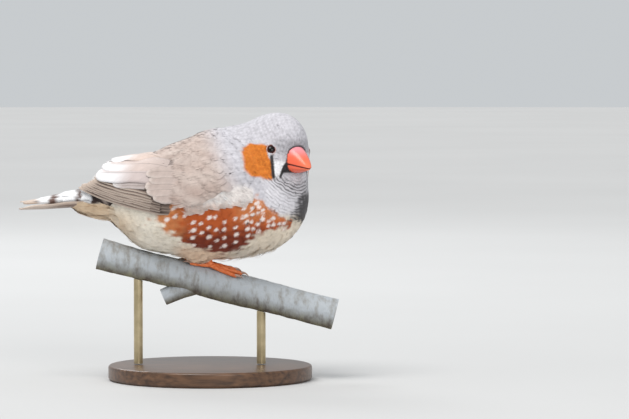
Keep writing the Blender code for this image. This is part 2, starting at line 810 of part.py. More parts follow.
def make_leg(name, side, s0, turn0):
    foot = perch_place(s0, -side * turn0, PERCH_RADIUS + GAP + TARSUS_RADIUS + 0.15)
    lean = np.array((TARSUS_RISE[0], side * 1.2, TARSUS_RISE[1]))
    path = [foot + lean * q for q in np.linspace(0, 1, 4)]
    radii = TARSUS_RADIUS * np.array((1.15, 0.95, 0.95, 1.1))
    leg = new_object(name, *lofted(tube(path, radii, 10)), "leg_orange")
    toes = [toe(side, s0, turn0, run, turn) for run, turn in TOES]
    apply_boolean(leg, "UNION", toes)
    coat, faces = ball_mesh(flesh, (-9.0, 0.0, 61.0), GAP, 34.0, 30, 30, (1, 0, 0.05), 21.0)
    apply_boolean(leg, "DIFFERENCE", [new_object("coat", coat, faces)])
    paint(leg, "leg_orange")


def make_stand():
    heights = (0.0, BASE_CHAMFER, BASE_THICKNESS - BASE_CHAMFER, BASE_THICKNESS)
    radii = (BASE_RADIUS - BASE_CHAMFER, BASE_RADIUS, BASE_RADIUS, BASE_RADIUS - BASE_CHAMFER)
    turns = np.arange(BASE_SIDES) * 2 * math.pi / BASE_SIDES
    rings = []
    for z, r in zip(heights, radii):
        rings.append(np.stack([r * np.cos(turns), r * np.sin(turns), 0 * turns + z], axis=1))
    new_object("stand_base", *lofted(rings), "base_wood")
    for name, x in RODS:
        path = [(x, 0.0, z) for z in (BASE_THICKNESS + GAP, PERCH_MIDDLE.z - ROD_TOP_SLOPE * x)]
        rod = new_object(name, *lofted(tube(path, (ROD_RADIUS, ROD_RADIUS), 20)), "rod_metal")
        apply_boolean(rod, "DIFFERENCE", [make_perch(GAP)])
        paint(rod, "rod_metal")


def main():
    clear_scene()
    make_torso()
    make_neck()
    make_head()
    make_bill()
    make_wing("wing_right", -1)
    make_wing("wing_left", 1)
    make_tail()
    for name, side, s0, turn0 in FEET:
        make_leg(name, side, s0, turn0)
    make_stand()
    make_perch()


main()
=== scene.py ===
"""A life-size male zebra finch on a cut length of branch, held on a display stand.

The bird faces +X, its right side towards -Y, with its head turned to its right.
Lengths are in millimetres until a mesh is made.
"""

import math

import bmesh
import bpy
import numpy as np
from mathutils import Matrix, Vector, kdtree


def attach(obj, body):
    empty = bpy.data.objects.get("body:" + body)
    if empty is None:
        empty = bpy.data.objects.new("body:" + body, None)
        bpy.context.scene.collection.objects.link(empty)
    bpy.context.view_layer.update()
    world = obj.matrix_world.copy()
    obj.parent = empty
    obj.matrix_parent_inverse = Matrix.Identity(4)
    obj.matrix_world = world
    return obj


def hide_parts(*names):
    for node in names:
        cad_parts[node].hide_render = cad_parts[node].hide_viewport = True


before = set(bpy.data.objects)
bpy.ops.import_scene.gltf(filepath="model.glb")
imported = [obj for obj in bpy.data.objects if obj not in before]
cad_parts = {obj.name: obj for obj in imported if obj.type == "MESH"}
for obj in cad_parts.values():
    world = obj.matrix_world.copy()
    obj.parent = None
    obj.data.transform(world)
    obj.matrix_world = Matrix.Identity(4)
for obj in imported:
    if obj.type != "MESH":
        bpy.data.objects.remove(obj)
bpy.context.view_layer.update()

MM = 0.001

# The body as balls along its spine: x, z, radius seen from the side, half-width over radius
BODY_SPINE = (
    (-42.0, 58.7, 3.2, 1.45),
    (-34.7, 61.3, 7.7, 1.06),
    (-28.7, 62.8, 9.4, 1.10),
    (-18.3, 59.5, 14.8, 1.04),
    (-6.0, 60.3, 19.6, 0.93),
    (5.0, 61.6, 21.2, 0.89),
    (13.7, 61.2, 19.2, 0.87),
)
NECK_SPINE = (
    (8.3, 66.7, 16.6, 0.90),
    (15.0, 73.4, 12.6, 0.86),
    (19.3, 76.7, 11.2, 0.80),
)
WING_SPINE = (
    (-47.0, 62.4, 4.2, 0.86),
    (-38.0, 62.8, 7.2, 0.90),
    (-29.5, 62.4, 10.2, 1.03),
    (-18.3, 59.9, 15.0, 1.06),
    (-6.0, 60.3, 19.65, 0.935),
    (5.0, 61.6, 21.25, 0.895),
    (13.7, 61.2, 19.25, 0.875),
)
HEAD_CENTRE = (24.0, -1.2, 78.6)
HEAD_TURN = 55.0
HEAD_PITCH = 4.0
HEAD_LUMPS = (
    ((0.0, 0.0, 0.0), (9.5, 7.6, 9.7)),
    ((-1.0, 2.6, -6.2), (8.2, 6.0, 7.6)),
    ((-1.0, -2.6, -6.2), (8.2, 6.0, 7.6)),
    ((3.6, 0.0, -5.2), (5.4, 5.2, 6.0)),
)
BILL_ROOT = 6.2
BILL_TIP = 16.6
BILL_LINE = -5.6
BILL_DROOP = 1.0
BILL_HALF_WIDTH = 4.85
BILL_UPPER_DEPTH = 6.4
BILL_LOWER_DEPTH = 3.35
EYE_RADIUS = 2.1
EYE_PLACE = (3.6, 7.0, -2.2)
EYE_PROUD = 0.50

# Loose feathers of the thighs, which reach down to the toes, and of the vent
LOOSE_LUMPS = (
    ((-3.8, -4.6, 44.4), (5.2, 3.4, 4.9)),
    ((-5.4, 4.8, 44.9), (5.2, 3.4, 4.9)),
    ((-19.2, 0.0, 50.2), (7.2, 9.0, 6.6)),
)

# How deep the coat is over the skin, on the body and on the face
BODY_COAT = 1.25
HEAD_COAT = 0.38

# How softly the parts of the form run into each other
TRUNK_BLEND = 5.0
LUMP_BLEND = 3.0
WING_BLEND = 2.0
ARM_BLEND = 1.5

# The face: its middle seen from the head's, and how far away it has ended and is whole
FACE_MIDDLE = (2.0, 0.0, -2.0)
FACE_END = 19.0
FACE_WHOLE = 11.0

PERCH_RADIUS = 5.5
PERCH_SLOPE = 14.4
PERCH_MIDDLE = np.array((0.0, 0.0, 32.5))
PERCH_BACK = -38.0
PERCH_FRONT = 43.0

# Colours of the plumage, as linear red, green and blue
FAWN = (0.475, 0.365, 0.320)
FAWN_PALE = (0.66, 0.57, 0.52)
HEAD_GREY = (0.575, 0.56, 0.60)
CHEEK = (0.72, 0.22, 0.026)
CHEEK_DEEP = (0.60, 0.155, 0.016)
BLACK = (0.012, 0.009, 0.009)
WHITE = (0.88, 0.88, 0.90)
CHESTNUT = (0.50, 0.100, 0.021)
CHESTNUT_DARK = (0.20, 0.030, 0.010)
CHESTNUT_PALE = (0.76, 0.32, 0.12)
CREAM = (0.93, 0.86, 0.74)
PLUME = (0.97, 0.91, 0.88)
UNDERTAIL = (0.74, 0.53, 0.33)
BAR_DARK = (0.060, 0.055, 0.060)
BELLY_FRONT = (0.82, 0.71, 0.57)
# Warm painted shade on the belly's underside, near the feet
BELLY_PAINTED_SHADE = (0.82, 0.57, 0.39)
THROAT_GREY = (0.78, 0.76, 0.80)
LORE_GREY = (0.62, 0.60, 0.63)
SPOT_WHITE = (0.93, 0.82, 0.77)
RUMP_PALE = (0.80, 0.76, 0.74)
TAIL_DARK = (0.035, 0.020, 0.017)
TAIL_BROWN = (0.16, 0.085, 0.065)
TAIL_BUFF = (0.60, 0.48, 0.40)


def unit(v):
    """Vectors made one long."""
    return v / np.maximum(np.linalg.norm(v, axis=-1, keepdims=True), 1e-9)


def eased(q):
    """0 below 0, 1 above 1, smooth between."""
    q = np.clip(q, 0, 1)
    return q * q * (3 - 2 * q)


def ramp(value, low, high):
    """0 below low, 1 above high, smooth between; low may be above high."""
    return eased((value - low) / (high - low))


# The bird's form as distance functions


def smooth_chain(rows, samples=40):
    """More balls between the given ones, on a smooth curve through them."""
    rows = np.array(rows, float)
    ends = np.vstack([2 * rows[0] - rows[1], rows, 2 * rows[-1] - rows[-2]])
    place = np.linspace(0, len(rows) - 1, samples)
    k = np.minimum(place.astype(int), len(rows) - 2)
    t = (place - k)[:, None]
    a, b, c, d = ends[k], ends[k + 1], ends[k + 2], ends[k + 3]
    bend = (2 * a - 5 * b + 4 * c - d) * t**2
    twist = (3 * b - a - 3 * c + d) * t**3
    return 0.5 * (2 * b + (c - a) * t + bend + twist)


BODY_BALLS = smooth_chain(BODY_SPINE)
NECK_BALLS = smooth_chain(NECK_SPINE, 16)
WING_BALLS = smooth_chain(WING_SPINE)


def chain_distance(points, chain):
    """How far outside a chain of flattened balls points lie, about."""
    best = np.full(len(points), 1e9)
    for x, z, radius, wide in chain:
        offset = (points - (x, 0.0, z)) / (1.0, wide, 1.0)
        best = np.minimum(best, np.linalg.norm(offset, axis=1) - radius)
    return best


def lump_distance(points, centre, radii):
    """How far outside an egg-shaped lump points lie, about."""
    local = (points - centre) / radii
    near = np.linalg.norm(local, axis=1)
    return near * (near - 1) / np.maximum(np.linalg.norm(local / radii, axis=1), 1e-6)


def joined(a, b, blend):
    """Two forms as one, with a soft join."""
    h = np.maximum(blend - np.abs(a - b), 0) / blend
    return np.minimum(a, b) - h * h * blend / 4


def head_axes():
    """The ways forward, left and up of the turned and lowered head."""
    turn, pitch = math.radians(HEAD_TURN), math.radians(HEAD_PITCH)
    level = np.array((math.cos(turn), -math.sin(turn), 0.0))
    up = np.array((0.0, 0.0, 1.0))
    forward = level * math.cos(pitch) - up * math.sin(pitch)
    left = np.cross(up, level)
    return np.array((forward, left, np.cross(forward, left)))


HEAD_AXES = head_axes()
# The middle of the throat's round bars, under the bill
BILL_BASE = np.array(HEAD_CENTRE) + np.array((8.0, 0.0, -4.0)) @ HEAD_AXES


def from_head(places):
    """Places given as forward, left and up from the head's middle."""
    return np.asarray(places, float) @ HEAD_AXES + HEAD_CENTRE


def to_head(points):
    """Points as forward, left and up from the head's middle."""
    return (points - HEAD_CENTRE) @ HEAD_AXES.T


def head_distance(points):
    """How far outside the head points lie, about."""
    local = to_head(points)
    whole = None
    for centre, radii in HEAD_LUMPS:
        lump = lump_distance(local, np.array(centre), np.array(radii))
        whole = lump if whole is None else joined(whole, lump, LUMP_BLEND)
    return whole


def flesh(points):
    """The outer face of the small feathers of head, neck and body."""
    body, neck = chain_distance(points, BODY_BALLS), chain_distance(points, NECK_BALLS)
    return joined(joined(body, neck, TRUNK_BLEND), head_distance(points), TRUNK_BLEND)


def wing_bed(points):
    """The form that the wings lie on."""
    return joined(chain_distance(points, WING_BALLS), flesh(points), WING_BLEND)


# The arm of the wing: its middle as x and degrees up round the body, and how far it reaches
ARM_CENTRE = (-1.0, 34.0)
ARM_REACH = (15.5, 37.0)
ARM_RIM = 0.4
ARM_BULGE = 2.6
ARM_EDGE = 0.14


def wing_angle(x, z):
    """Degrees up round the body at a place seen from the side."""
    middle = np.interp(x, WING_BALLS[:, 0], WING_BALLS[:, 1])
    radius = np.interp(x, WING_BALLS[:, 0], WING_BALLS[:, 2])
    return np.degrees(np.arcsin(np.clip((z - middle) / radius, -0.95, 0.95)))


def arm_share(x, angle):
    """0 at the middle of the wing's arm, 1 at its edge."""
    return np.hypot((x - ARM_CENTRE[0]) / ARM_REACH[0], (angle - ARM_CENTRE[1]) / ARM_REACH[1])


def arm_height(x, angle):
    """How far the wing's arm stands over the body."""
    share = arm_share(x, angle)
    domed = (ARM_BULGE - ARM_RIM) * np.clip(1 - share**2, 0, 1) ** 0.9
    return domed + ARM_RIM * ramp(share, 1 + ARM_EDGE, 1.0)


def coat_form(points):
    """The outer face of the small feathers, with the thighs, the vent and the arms of the wings."""
    whole = flesh(points)
    for centre, radii in LOOSE_LUMPS:
        lump = lump_distance(points, np.array(centre), np.array(radii))
        whole = joined(whole, lump, LUMP_BLEND)
    x, y, z = points.T
    angle = wing_angle(x, z)
    arm = arm_height(x, angle) * ramp(np.abs(y), 2.0, 6.0)
    outside = 8.0 * ramp(arm_share(x, angle), 1.0, 1.3)
    return joined(whole, wing_bed(points) - arm + outside, ARM_BLEND)


def head_share(points):
    """1 on the face, 0 on the body."""
    away = np.linalg.norm(points - from_head([FACE_MIDDLE])[0], axis=1)
    return ramp(away, FACE_END, FACE_WHOLE)


def coat_depth(points):
    """How deep the coat is over the skin: thin on the face."""
    return BODY_COAT + (HEAD_COAT - BODY_COAT) * head_share(points)


def slope_of(form, points, step=0.05):
    """The way straight out of a form."""
    grad = np.empty_like(points)
    for axis in range(3):
        shift = np.zeros(3)
        shift[axis] = step
        grad[:, axis] = form(points + shift) - form(points - shift)
    return unit(grad)


def settled(form, points, level, rounds=3):
    """Points moved to a level over a form."""
    points = np.array(points, float)
    for _ in range(rounds):
        points = points - slope_of(form, points) * (form(points) - level)[:, None]
    return points


# How often a stretch is halved to find the place where a ray leaves a form
HALVINGS = 22


def reached(form, starts, directions, level, longest):
    """The places where rays from inside a form come to a level over it."""
    near, far = np.zeros(len(starts)), np.full(len(starts), longest)
    for _ in range(HALVINGS):
        middle = (near + far) / 2
        spots = starts + directions * middle[:, None]
        inside = form(spots) < (level(spots) if callable(level) else level)
        near, far = np.where(inside, middle, near), np.where(inside, far, middle)
    return starts + directions * near[:, None]


# Markings


def ripple(points, scale, seed):
    """A smooth wavering between -1 and 1, about scale millimetres from crest to crest."""
    draw = np.random.default_rng(seed)
    total = np.zeros(len(points))
    for _ in range(4):
        way = unit(draw.normal(size=3)) * 2 * math.pi / scale * draw.uniform(0.7, 1.4)
        total += np.sin(points @ way + draw.uniform(0, 6.28))
    return total / 2.6


def mixed(base, colour, share):
    """base where share is 0, colour where it is 1."""
    return base + (np.asarray(colour) - base) * np.clip(share, 0, 1)[:, None]


def layered(colour, *layers):
    """A colour under layers, each one a colour and the share of it that shows."""
    for tone, share in layers:
        colour = mixed(colour, tone, share)
    return colour


def plain(colour, points):
    """One colour for all points."""
    return np.tile(np.array(colour), (len(points), 1))


def band(value, low, high, soft):
    """1 between low and high, fading over soft at both ends."""
    half = soft / 2
    return ramp(value, low - half, low + half) * ramp(value, high + half, high - half)


def face_turn(local):
    """Degrees round the head from the bill, drawn in on the narrow left side."""
    turn = np.degrees(np.arctan2(np.abs(local[:, 1]), local[:, 0]))
    return np.where(local[:, 1] > 0, np.where(turn > 55, 55 + (turn - 55) * 0.40, turn), turn)


# Pale spots of the flank in columns: x, z of the first, step down to the next, how many
SPOT_COLUMNS = (
    (-13.5, 57.3, 3.0, 2),
    (-11.1, 58.2, 3.0, 2),
    (-7.9, 55.6, 3.2, 1),
    (-5.2, 53.2, 2.6, 4),
    (-2.5, 56.2, 3.2, 3),
    (0.2, 55.0, 3.3, 4),
    (2.4, 54.9, 3.9, 3),
    (5.3, 53.5, 2.75, 4),
    (9.0, 54.4, 2.6, 4),
    (11.4, 57.7, 2.7, 2),
    (12.7, 55.7, 2.4, 4),
    (14.3, 58.0, 2.3, 4),
    (15.9, 59.7, 2.4, 1),
    (16.5, 58.4, 2.1, 2),
    (16.3, 52.7, 2.5, 2),
    (17.9, 57.4, 1.6, 3),
    (19.5, 53.4, 1.5, 2),
    (21.2, 54.6, 2.4, 2),
    (23.3, 52.4, 2.0, 1),
    (24.9, 52.7, 1.8, 2),
)
# Their half-length and half-height at the hindmost and foremost column, and their tilt
SPOT_ENDS = (-14.0, 25.0)
SPOT_LENGTH = (0.86, 0.74)
SPOT_HEIGHT = (0.60, 0.54)
SPOT_TILT = 24.0


def flank_spots(x, z):
    """Pale oval spots on the flank, larger towards the tail, tilted with the feathers."""
    share = np.zeros(len(x))
    draw = np.random.default_rng(11)
    tilt = math.radians(SPOT_TILT)
    for column, top, step, count in SPOT_COLUMNS:
        for place in range(count):
            cx = column + draw.uniform(-0.25, 0.25)
            cz = top - place * step + draw.uniform(-0.2, 0.2)
            size = draw.uniform(0.85, 1.15)
            long = np.interp(cx, SPOT_ENDS, SPOT_LENGTH) * size
            high = np.interp(cx, SPOT_ENDS, SPOT_HEIGHT) * size
            along = (x - cx) * math.cos(tilt) + (z - cz) * math.sin(tilt)
            over = (z - cz) * math.cos(tilt) - (x - cx) * math.sin(tilt)
            share = np.maximum(share, ramp(np.hypot(along / long, over / high), 1.25, 0.8))
    return share


# The chestnut flank's upper and lower edge: places along the body, and their heights
FLANK_TOP = (
    (-18.0, -15.0, -11.5, -9.0, -3.5, 2.0, 9.0, 12.5, 16.0, 19.0, 24.0, 28.5),
    (54.0, 56.6, 61.0, 60.4, 59.4, 58.2, 59.0, 61.2, 61.8, 58.4, 55.0, 52.4),
)
FLANK_LOW = (
    (-17.0, -14.0, -10.5, -7.0, -2.0, 4.0, 9.0, 12.5, 15.5, 19.5, 24.5, 28.5),
    (54.5, 51.0, 48.4, 45.8, 44.2, 42.6, 43.6, 46.0, 48.6, 50.8, 51.2, 51.6),
)
FLANK_REAR = -17.5
FLANK_FRONT = 29.0


def flank_share(x, z, waver):
    """Where the chestnut flank lies, between its upper and lower edge."""
    inside = np.minimum(np.interp(x, *FLANK_TOP) - z, z - np.interp(x, *FLANK_LOW))
    ends = np.minimum((x - FLANK_REAR) * 0.6, FLANK_FRONT - x)
    soft = 0.5 + 1.3 * ramp(x, -8.0, -14.0) + 0.7 * band(x, 11.0, 18.0, 4.0)
    return ramp(np.minimum(inside, ends) + waver * (0.3 + soft), -soft, soft)


def breast_share(points, waver):
    """Where throat and upper breast are barred."""
    x, y, z = points.T
    up = to_head(points)[:, 2]
    side = np.abs(y) - 2.0 * (y < 0)
    breast = ramp(x - 0.10 * side + waver, 15.5, 19.0) * ramp(z, 54.0, 57.0)
    return breast * ramp(up + waver * 0.5, -8.6, -10.2)


# The black band's upper edge: heights, and how far forward it lies there
BAND_EDGE = ((52.5, 56.0, 60.0, 63.0), (25.6, 27.6, 29.2, 30.6))
BAND_LOW = 52.2


def pectoral_share(points, waver):
    """The black band across the breast, which frays out to both sides."""
    x, y, z = points.T
    edge = np.interp(z, *BAND_EDGE)
    low = BAND_LOW + 0.10 * np.abs(y)
    across = ramp(x + 0.9 * waver, edge - 1.6, edge + 2.2)
    below = ramp(z + 0.7 * waver, low - 0.5, low + 0.9)
    return across * below * ramp(z, 64.0, 61.0)


def bar_share(points):
    """How strongly the fine dark bars show: most below the chin and on the black band."""
    away = np.linalg.norm(points - BILL_BASE, axis=1)
    waver = ripple(points, 3.0, 1)
    strength = 0.20 + 0.50 * band(away, 8.5, 13.0, 3.0) + 0.12 * waver
    return np.maximum(breast_share(points, waver) * strength, pectoral_share(points, waver) * 0.92)


def back_colour(points, face, fine):
    """The back is fawn, head and neck are silver grey and finely streaked."""
    x, y, z = points.T
    colour = mixed(plain(FAWN, points), FAWN_PALE, 0.35 + 0.25 * ripple(points, 7.0, 3))
    neck = np.maximum(face, ramp(x + 0.45 * (z - 70), 0.0, 11.0))
    return mixed(colour, HEAD_GREY, neck) * (1 + 0.10 * fine * neck)[:, None]


def with_underside(colour, points, face, waver):
    """Belly and vent are cream, the undertail is yellower, and the belly's underside has warm painted
    shade.
    """
    x, y, z = points.T
    belly = ramp(z - 0.06 * np.abs(x) + waver, 57.0, 51.5) * (1 - face)
    under = layered(
        plain(CREAM, points),
        (BELLY_FRONT, ramp(x, 9.0, 17.0) * 0.9),
        # The underside near the feet: warm painted shade
        (BELLY_PAINTED_SHADE, ramp(z, 47.5, 42.5) * ramp(x, 9.0, 2.0) * ramp(x, -14.0, -8.0) * 0.8),
    )
    return layered(
        colour,
        (under, belly),
        (CREAM, ramp(x, -12.0, -24.0) * ramp(z + waver * 0.6, 62.0, 57.0)),
        (UNDERTAIL, ramp(x, -20.0, -33.0) * ramp(z, 60.0, 52.0) * 0.85),
    )


def with_rump(colour, points, waver):
    """The rump is banded as the tail coverts are, and pale at its top."""
    x, y, z = points.T
    top = ramp(z, 62.5, 64.0) * ramp(x, -41.0, -38.5)
    marks = mixed(tail_marks(points, waver), RUMP_PALE, top * 0.9)
    return mixed(colour, marks, ramp(x, -28.0, -29.6) * ramp(z + 0.4 * waver, 58.6, 59.6))


def with_breast(colour, points, waver):
    """A whitish plume under the wing, a paler grey throat with painted shadow under the bill, and the
    black band below it.
    """
    x, y, z = points.T
    plume = band(x + waver, -5.0, 14.0, 4.0) * ramp(z, 58.0, 60.0) * ramp(z, 67.0, 63.5)
    colour = mixed(colour, PLUME, plume * (np.abs(y) > 8) * 0.85)
    colour = mixed(colour, THROAT_GREY, breast_share(points, waver) * 0.85)
    # Painted shadow under the bill: the throat there is darker
    away = np.linalg.norm(points - BILL_BASE, axis=1)
    colour = colour * (1 - 0.20 * band(away, 8.0, 13.5, 3.0) * (z < 70))[:, None]
    black = pectoral_share(points, waver) * (0.62 + 0.30 * ramp(x, 28.0, 30.5))
    return mixed(colour, BLACK, black)


def with_flanks(colour, points, waver):
    """The flanks are chestnut, deeper low down and paler at the edges, with pale spots."""
    x, y, z = points.T
    room = 5.5 + 3.0 * ramp(x, 22.0, 28.0)
    chestnut = flank_share(x, z, waver) * ramp(np.abs(y) + 1.2 * waver, room - 1.0, room + 1.0)
    chestnut = chestnut * ramp(z, 63.4, 62.0)
    tone = layered(
        plain(CHESTNUT, points),
        (CHESTNUT_DARK, ramp(z + 2.2 * waver - 0.05 * x, 53.5, 46.5)),
        (CHESTNUT_PALE, ramp(x + 2 * waver, -6.5, -14.5) * 0.75),
        (CHESTNUT_PALE, ramp(z, 56.5, 61.5) * 0.45),
        (CHESTNUT_PALE, ramp(x, 6.0, 12.0) * ramp(z, 51.0, 56.0) * 0.45),
    )
    spots = flank_spots(x, z) * ramp(chestnut, 0.3, 0.8)
    return layered(colour, (tone, chestnut), (SPOT_WHITE, spots))


# The face's edges. Each is a row of heights over the head's middle and a row of degrees
# round the head from the bill, but the nape's edge is heights and places along the body,
# and the crest of the black is degrees and heights.
CHEEK_FRONT = ((-10.0, -7.0, -4.4, -1.9), (45.5, 48.5, 53.0, 60.0))
CHEEK_REAR = ((-10.5, -7.7, -3.9, 0.5), (60.5, 73.5, 80.5, 82.5))
NAPE_EDGE = (
    (66.8, 67.8, 69.5, 72.0, 76.0, 78.0, 79.4),
    (20.0, 15.0, 12.9, 11.5, 11.0, 11.4, 12.9),
)
TEAR_MIDDLE = ((-10.0, -7.9, -5.7, -4.1, -3.0), (44.3, 46.4, 48.5, 50.6, 51.8))
TEAR_HALF = ((-10.0, -4.0), (1.9, 2.6))
LINE_MIDDLE = ((-9.5, -7.8, -6.2, -5.1, -2.9, -1.2), (34.7, 31.5, 28.4, 25.4, 22.8, 19.6))
LINE_HALF = (
    (-10.0, -8.0, -6.2, -5.0, -3.8, -2.4, -1.2),
    (1.6, 2.9, 2.9, 1.3, 1.1, 2.2, 2.0),
)
BLACK_CREST = ((0.0, 10.0, 16.0, 22.0, 26.0), (0.6, 0.3, -0.3, -1.1, -1.8))
LINE_SOFT = 0.7


def with_cheek(colour, points, turn, up, waver, fine):
    """An orange patch behind the eye."""
    x, y, z = points.T
    low = -10.5 + 0.06 * (turn - 50)
    top = np.minimum(-0.4 + 0.06 * (turn - 58), 0.7)
    front, rear = np.interp(up, *CHEEK_FRONT), np.interp(up, *CHEEK_REAR)
    cheek = band(turn + waver * 0.8, front, rear, 1.8) * band(up + waver * 0.25, low, top, 0.7)
    nape = np.interp(z, *NAPE_EDGE)
    cheek = cheek * np.maximum(ramp(x + waver * 0.3, nape - 0.5, nape + 0.5), y > 0)
    orange = mixed(plain(CHEEK, points), CHEEK_DEEP, 0.5 + 0.5 * fine)
    return mixed(colour, orange, cheek)


def with_face_lines(colour, turn, up, face, fine):
    """A black tear stripe, a white lore, and a black line beside the bill."""
    tear_middle, tear_half = np.interp(up, *TEAR_MIDDLE), np.interp(up, *TEAR_HALF)
    tear = ramp(np.abs(turn - tear_middle), tear_half + LINE_SOFT, tear_half - LINE_SOFT)
    tear = tear * band(up, -10.3, -2.8, 0.7)
    line_middle, line_half = np.interp(up, *LINE_MIDDLE), np.interp(up, *LINE_HALF)
    between = band(turn, line_middle + 1.5, tear_middle - 1.5, 1.6)
    colour = layered(
        colour,
        (LORE_GREY, between * band(up, -5.0, -1.8, 1.2) * 0.6),
        (WHITE, between * band(up, -9.9, -4.7, 1.5)),
    )
    fleck = ramp(turn, 58.0, 46.0) * band(up, -2.2, 2.4, 1.6) * (0.5 + 0.5 * fine)
    colour = colour * (1 - 0.42 * fleck * face)[:, None]
    crest = np.interp(turn, *BLACK_CREST)
    rim = line_middle + line_half
    beside = ramp(turn, rim + LINE_SOFT, rim - LINE_SOFT)
    beside = beside * ramp(up, crest + 0.35, crest - 0.25) * ramp(up, -8.9, -8.2)
    end = ramp(np.abs(turn - line_middle), line_half + LINE_SOFT, line_half - LINE_SOFT)
    end = end * band(up, -10.2, -8.2, 0.6)
    return mixed(colour, BLACK, np.maximum(tear, np.maximum(beside, end)) * 0.96)


def coat_colour(points):
    """The colour of the small feathers at places on head, neck and body."""
    local = to_head(points)
    turn, up = face_turn(local), local[:, 2]
    face = head_share(points)
    waver = ripple(points, 3.0, 1)
    fine = ripple(points, 1.1, 2)
    colour = back_colour(points, face, fine)
    colour = with_underside(colour, points, face, waver)
    colour = with_rump(colour, points, waver)
    colour = with_breast(colour, points, waver)
    colour = with_flanks(colour, points, waver)
    colour = with_cheek(colour, points, turn, up, waver, fine)
    return with_face_lines(colour, turn, up, face, fine)


# Meshes

# How far the coat is shaded as one soft surface and not barb by barb
SOFTNESS = 0.78


def mesh_object(name, points, faces, material, colours=None, patch=None, bars=0.0, normals=None):
    """A mesh from arrays, with a colour and a strength of bars for each point, and a bake map."""
    points = np.asarray(points, np.float32) * MM
    mesh = bpy.data.meshes.new(name)
    if isinstance(faces, np.ndarray):
        count, sides = faces.shape
        mesh.vertices.add(len(points))
        mesh.vertices.foreach_set("co", points.ravel())
        mesh.loops.add(count * sides)
        mesh.loops.foreach_set("vertex_index", faces.astype(np.int32).ravel())
        mesh.polygons.add(count)
        mesh.polygons.foreach_set("loop_start", np.arange(count, dtype=np.int32) * sides)
        mesh.update(calc_edges=True)
    else:
        mesh.from_pydata([tuple(p) for p in points], [], [tuple(f) for f in faces])
    if colours is not None:
        layer = mesh.color_attributes.new("plumage", "FLOAT_COLOR", "POINT")
        rgba = np.empty((len(points), 4), np.float32)
        rgba[:, :3] = np.clip(colours, 0.0, 1.0)
        rgba[:, 3] = bars
        layer.data.foreach_set("color", rgba.ravel())
    if patch is not None:
        index = np.empty(len(mesh.loops), np.int32)
        mesh.loops.foreach_get("vertex_index", index)
        layer = mesh.uv_layers.new(name="OFBake", do_init=False)
        layer.uv.foreach_set("vector", np.asarray(patch, np.float32)[index].ravel())
    mesh.shade_smooth()
    if normals is not None:
        own = np.empty(len(points) * 3, np.float32)
        mesh.vertices.foreach_get("normal", own)
        blended = unit(own.reshape(-1, 3) * (1 - SOFTNESS) + normals * SOFTNESS)
        mesh.normals_split_custom_set_from_vertices(blended.astype(np.float32))
    obj = bpy.data.objects.new(name, mesh)
    bpy.context.scene.collection.objects.link(obj)
    obj.data.materials.append(material)
    return obj


def face_outward(obj):
    """Turns all faces of a closed mesh outward."""
    bm = bmesh.new()
    bm.from_mesh(obj.data)
    bmesh.ops.recalc_face_normals(bm, faces=bm.faces)
    if bm.calc_volume(signed=True) < 0:
        bmesh.ops.reverse_faces(bm, faces=bm.faces)
    bm.to_mesh(obj.data)
    bm.free()
    obj.data.shade_smooth()


def place_piece(obj, slot, *nodes):
    """Gives a piece its body and hides the nodes that it takes the place of; slot is not used."""
    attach(obj, "root")
    if nodes:
        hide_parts(*nodes)


def lofted(rings, capped=True, closed=False):
    """A mesh through rings of points, with flat ends, or closed to a loop."""
    count = len(rings[0])
    faces = []
    last = len(rings) if closed else len(rings) - 1
    for i in range(last):
        a, b = i * count, (i + 1) % len(rings) * count
        for j in range(count):
            k = (j + 1) % count
            faces.append((a + j, a + k, b + k, b + j))
    if capped and not closed:
        faces.append(tuple(range(count)))
        faces.append(tuple((len(rings) - 1) * count + j for j in range(count)))
    return np.vstack(rings), faces


def ball_mesh(form, centre, level, longest, rings, sides, axis, stretch=0.0):
    """A mesh over a form, by rays from its centre, or from a line through it along axis that
    reaches stretch to both sides."""
    axis = unit(np.array(axis, float))
    across = unit(np.cross(axis, (0.0, 1.0, 0.001)))
    third = np.cross(axis, across)
    tilt = math.pi * np.arange(1, rings) / rings
    turn = 2 * math.pi * np.arange(sides) / sides
    tilt, turn = [a.ravel() for a in np.meshgrid(tilt, turn, indexing="ij")]
    tilt = np.concatenate([[0.0], tilt, [math.pi]])
    turn = np.concatenate([[0.0], turn, [0.0]])
    side = np.outer(np.cos(turn), across) + np.outer(np.sin(turn), third)
    ways = np.outer(np.cos(tilt), axis) + side * np.sin(tilt)[:, None]
    starts = np.array(centre) + np.outer(np.cos(tilt) * stretch, axis)
    points = reached(form, starts, ways, level, longest)
    faces = []
    for j in range(sides):
        k = (j + 1) % sides
        faces.append((0, 1 + j, 1 + k))
        for i in range(rings - 2):
            a = 1 + i * sides
            faces.append((a + j, a + sides + j, a + sides + k, a + k))
        a = 1 + (rings - 2) * sides
        faces.append((a + j, len(points) - 1, a + k))
    return points, faces


# Materials


def new_material(name, roughness, specular=0.5):
    material = bpy.data.materials.new(name)
    material.use_nodes = True
    shader = material.node_tree.nodes["Principled BSDF"]
    shader.inputs["Roughness"].default_value = roughness
    shader.inputs["Specular IOR Level"].default_value = specular
    return material, material.node_tree, shader


def add_node(tree, kind, inputs, **settings):
    """A node whose inputs are values or other nodes' outputs. Gives back its outputs."""
    node = tree.nodes.new(f"ShaderNode{kind}")
    for name, value in settings.items():
        setattr(node, name, value)
    for place, value in inputs.items():
        if isinstance(value, bpy.types.NodeSocket):
            tree.links.new(value, node.inputs[place])
        else:
            node.inputs[place].default_value = value
    return node.outputs


def own_colour(tree):
    """The colour of each point of a mesh, and the strength of its bars as alpha."""
    return add_node(tree, "Attribute", {}, attribute_name="plumage")


def object_place(tree):
    return add_node(tree, "TexCoord", {})["Object"]


def noise_at(tree, place, scale, detail, roughness=0.5):
    inputs = {"Vector": place, "Scale": scale, "Detail": detail, "Roughness": roughness}
    return add_node(tree, "TexNoise", inputs)["Fac"]


def worked_out(tree, operation, *values):
    """One step of arithmetic."""
    return add_node(tree, "Math", dict(enumerate(values)), operation=operation)["Value"]


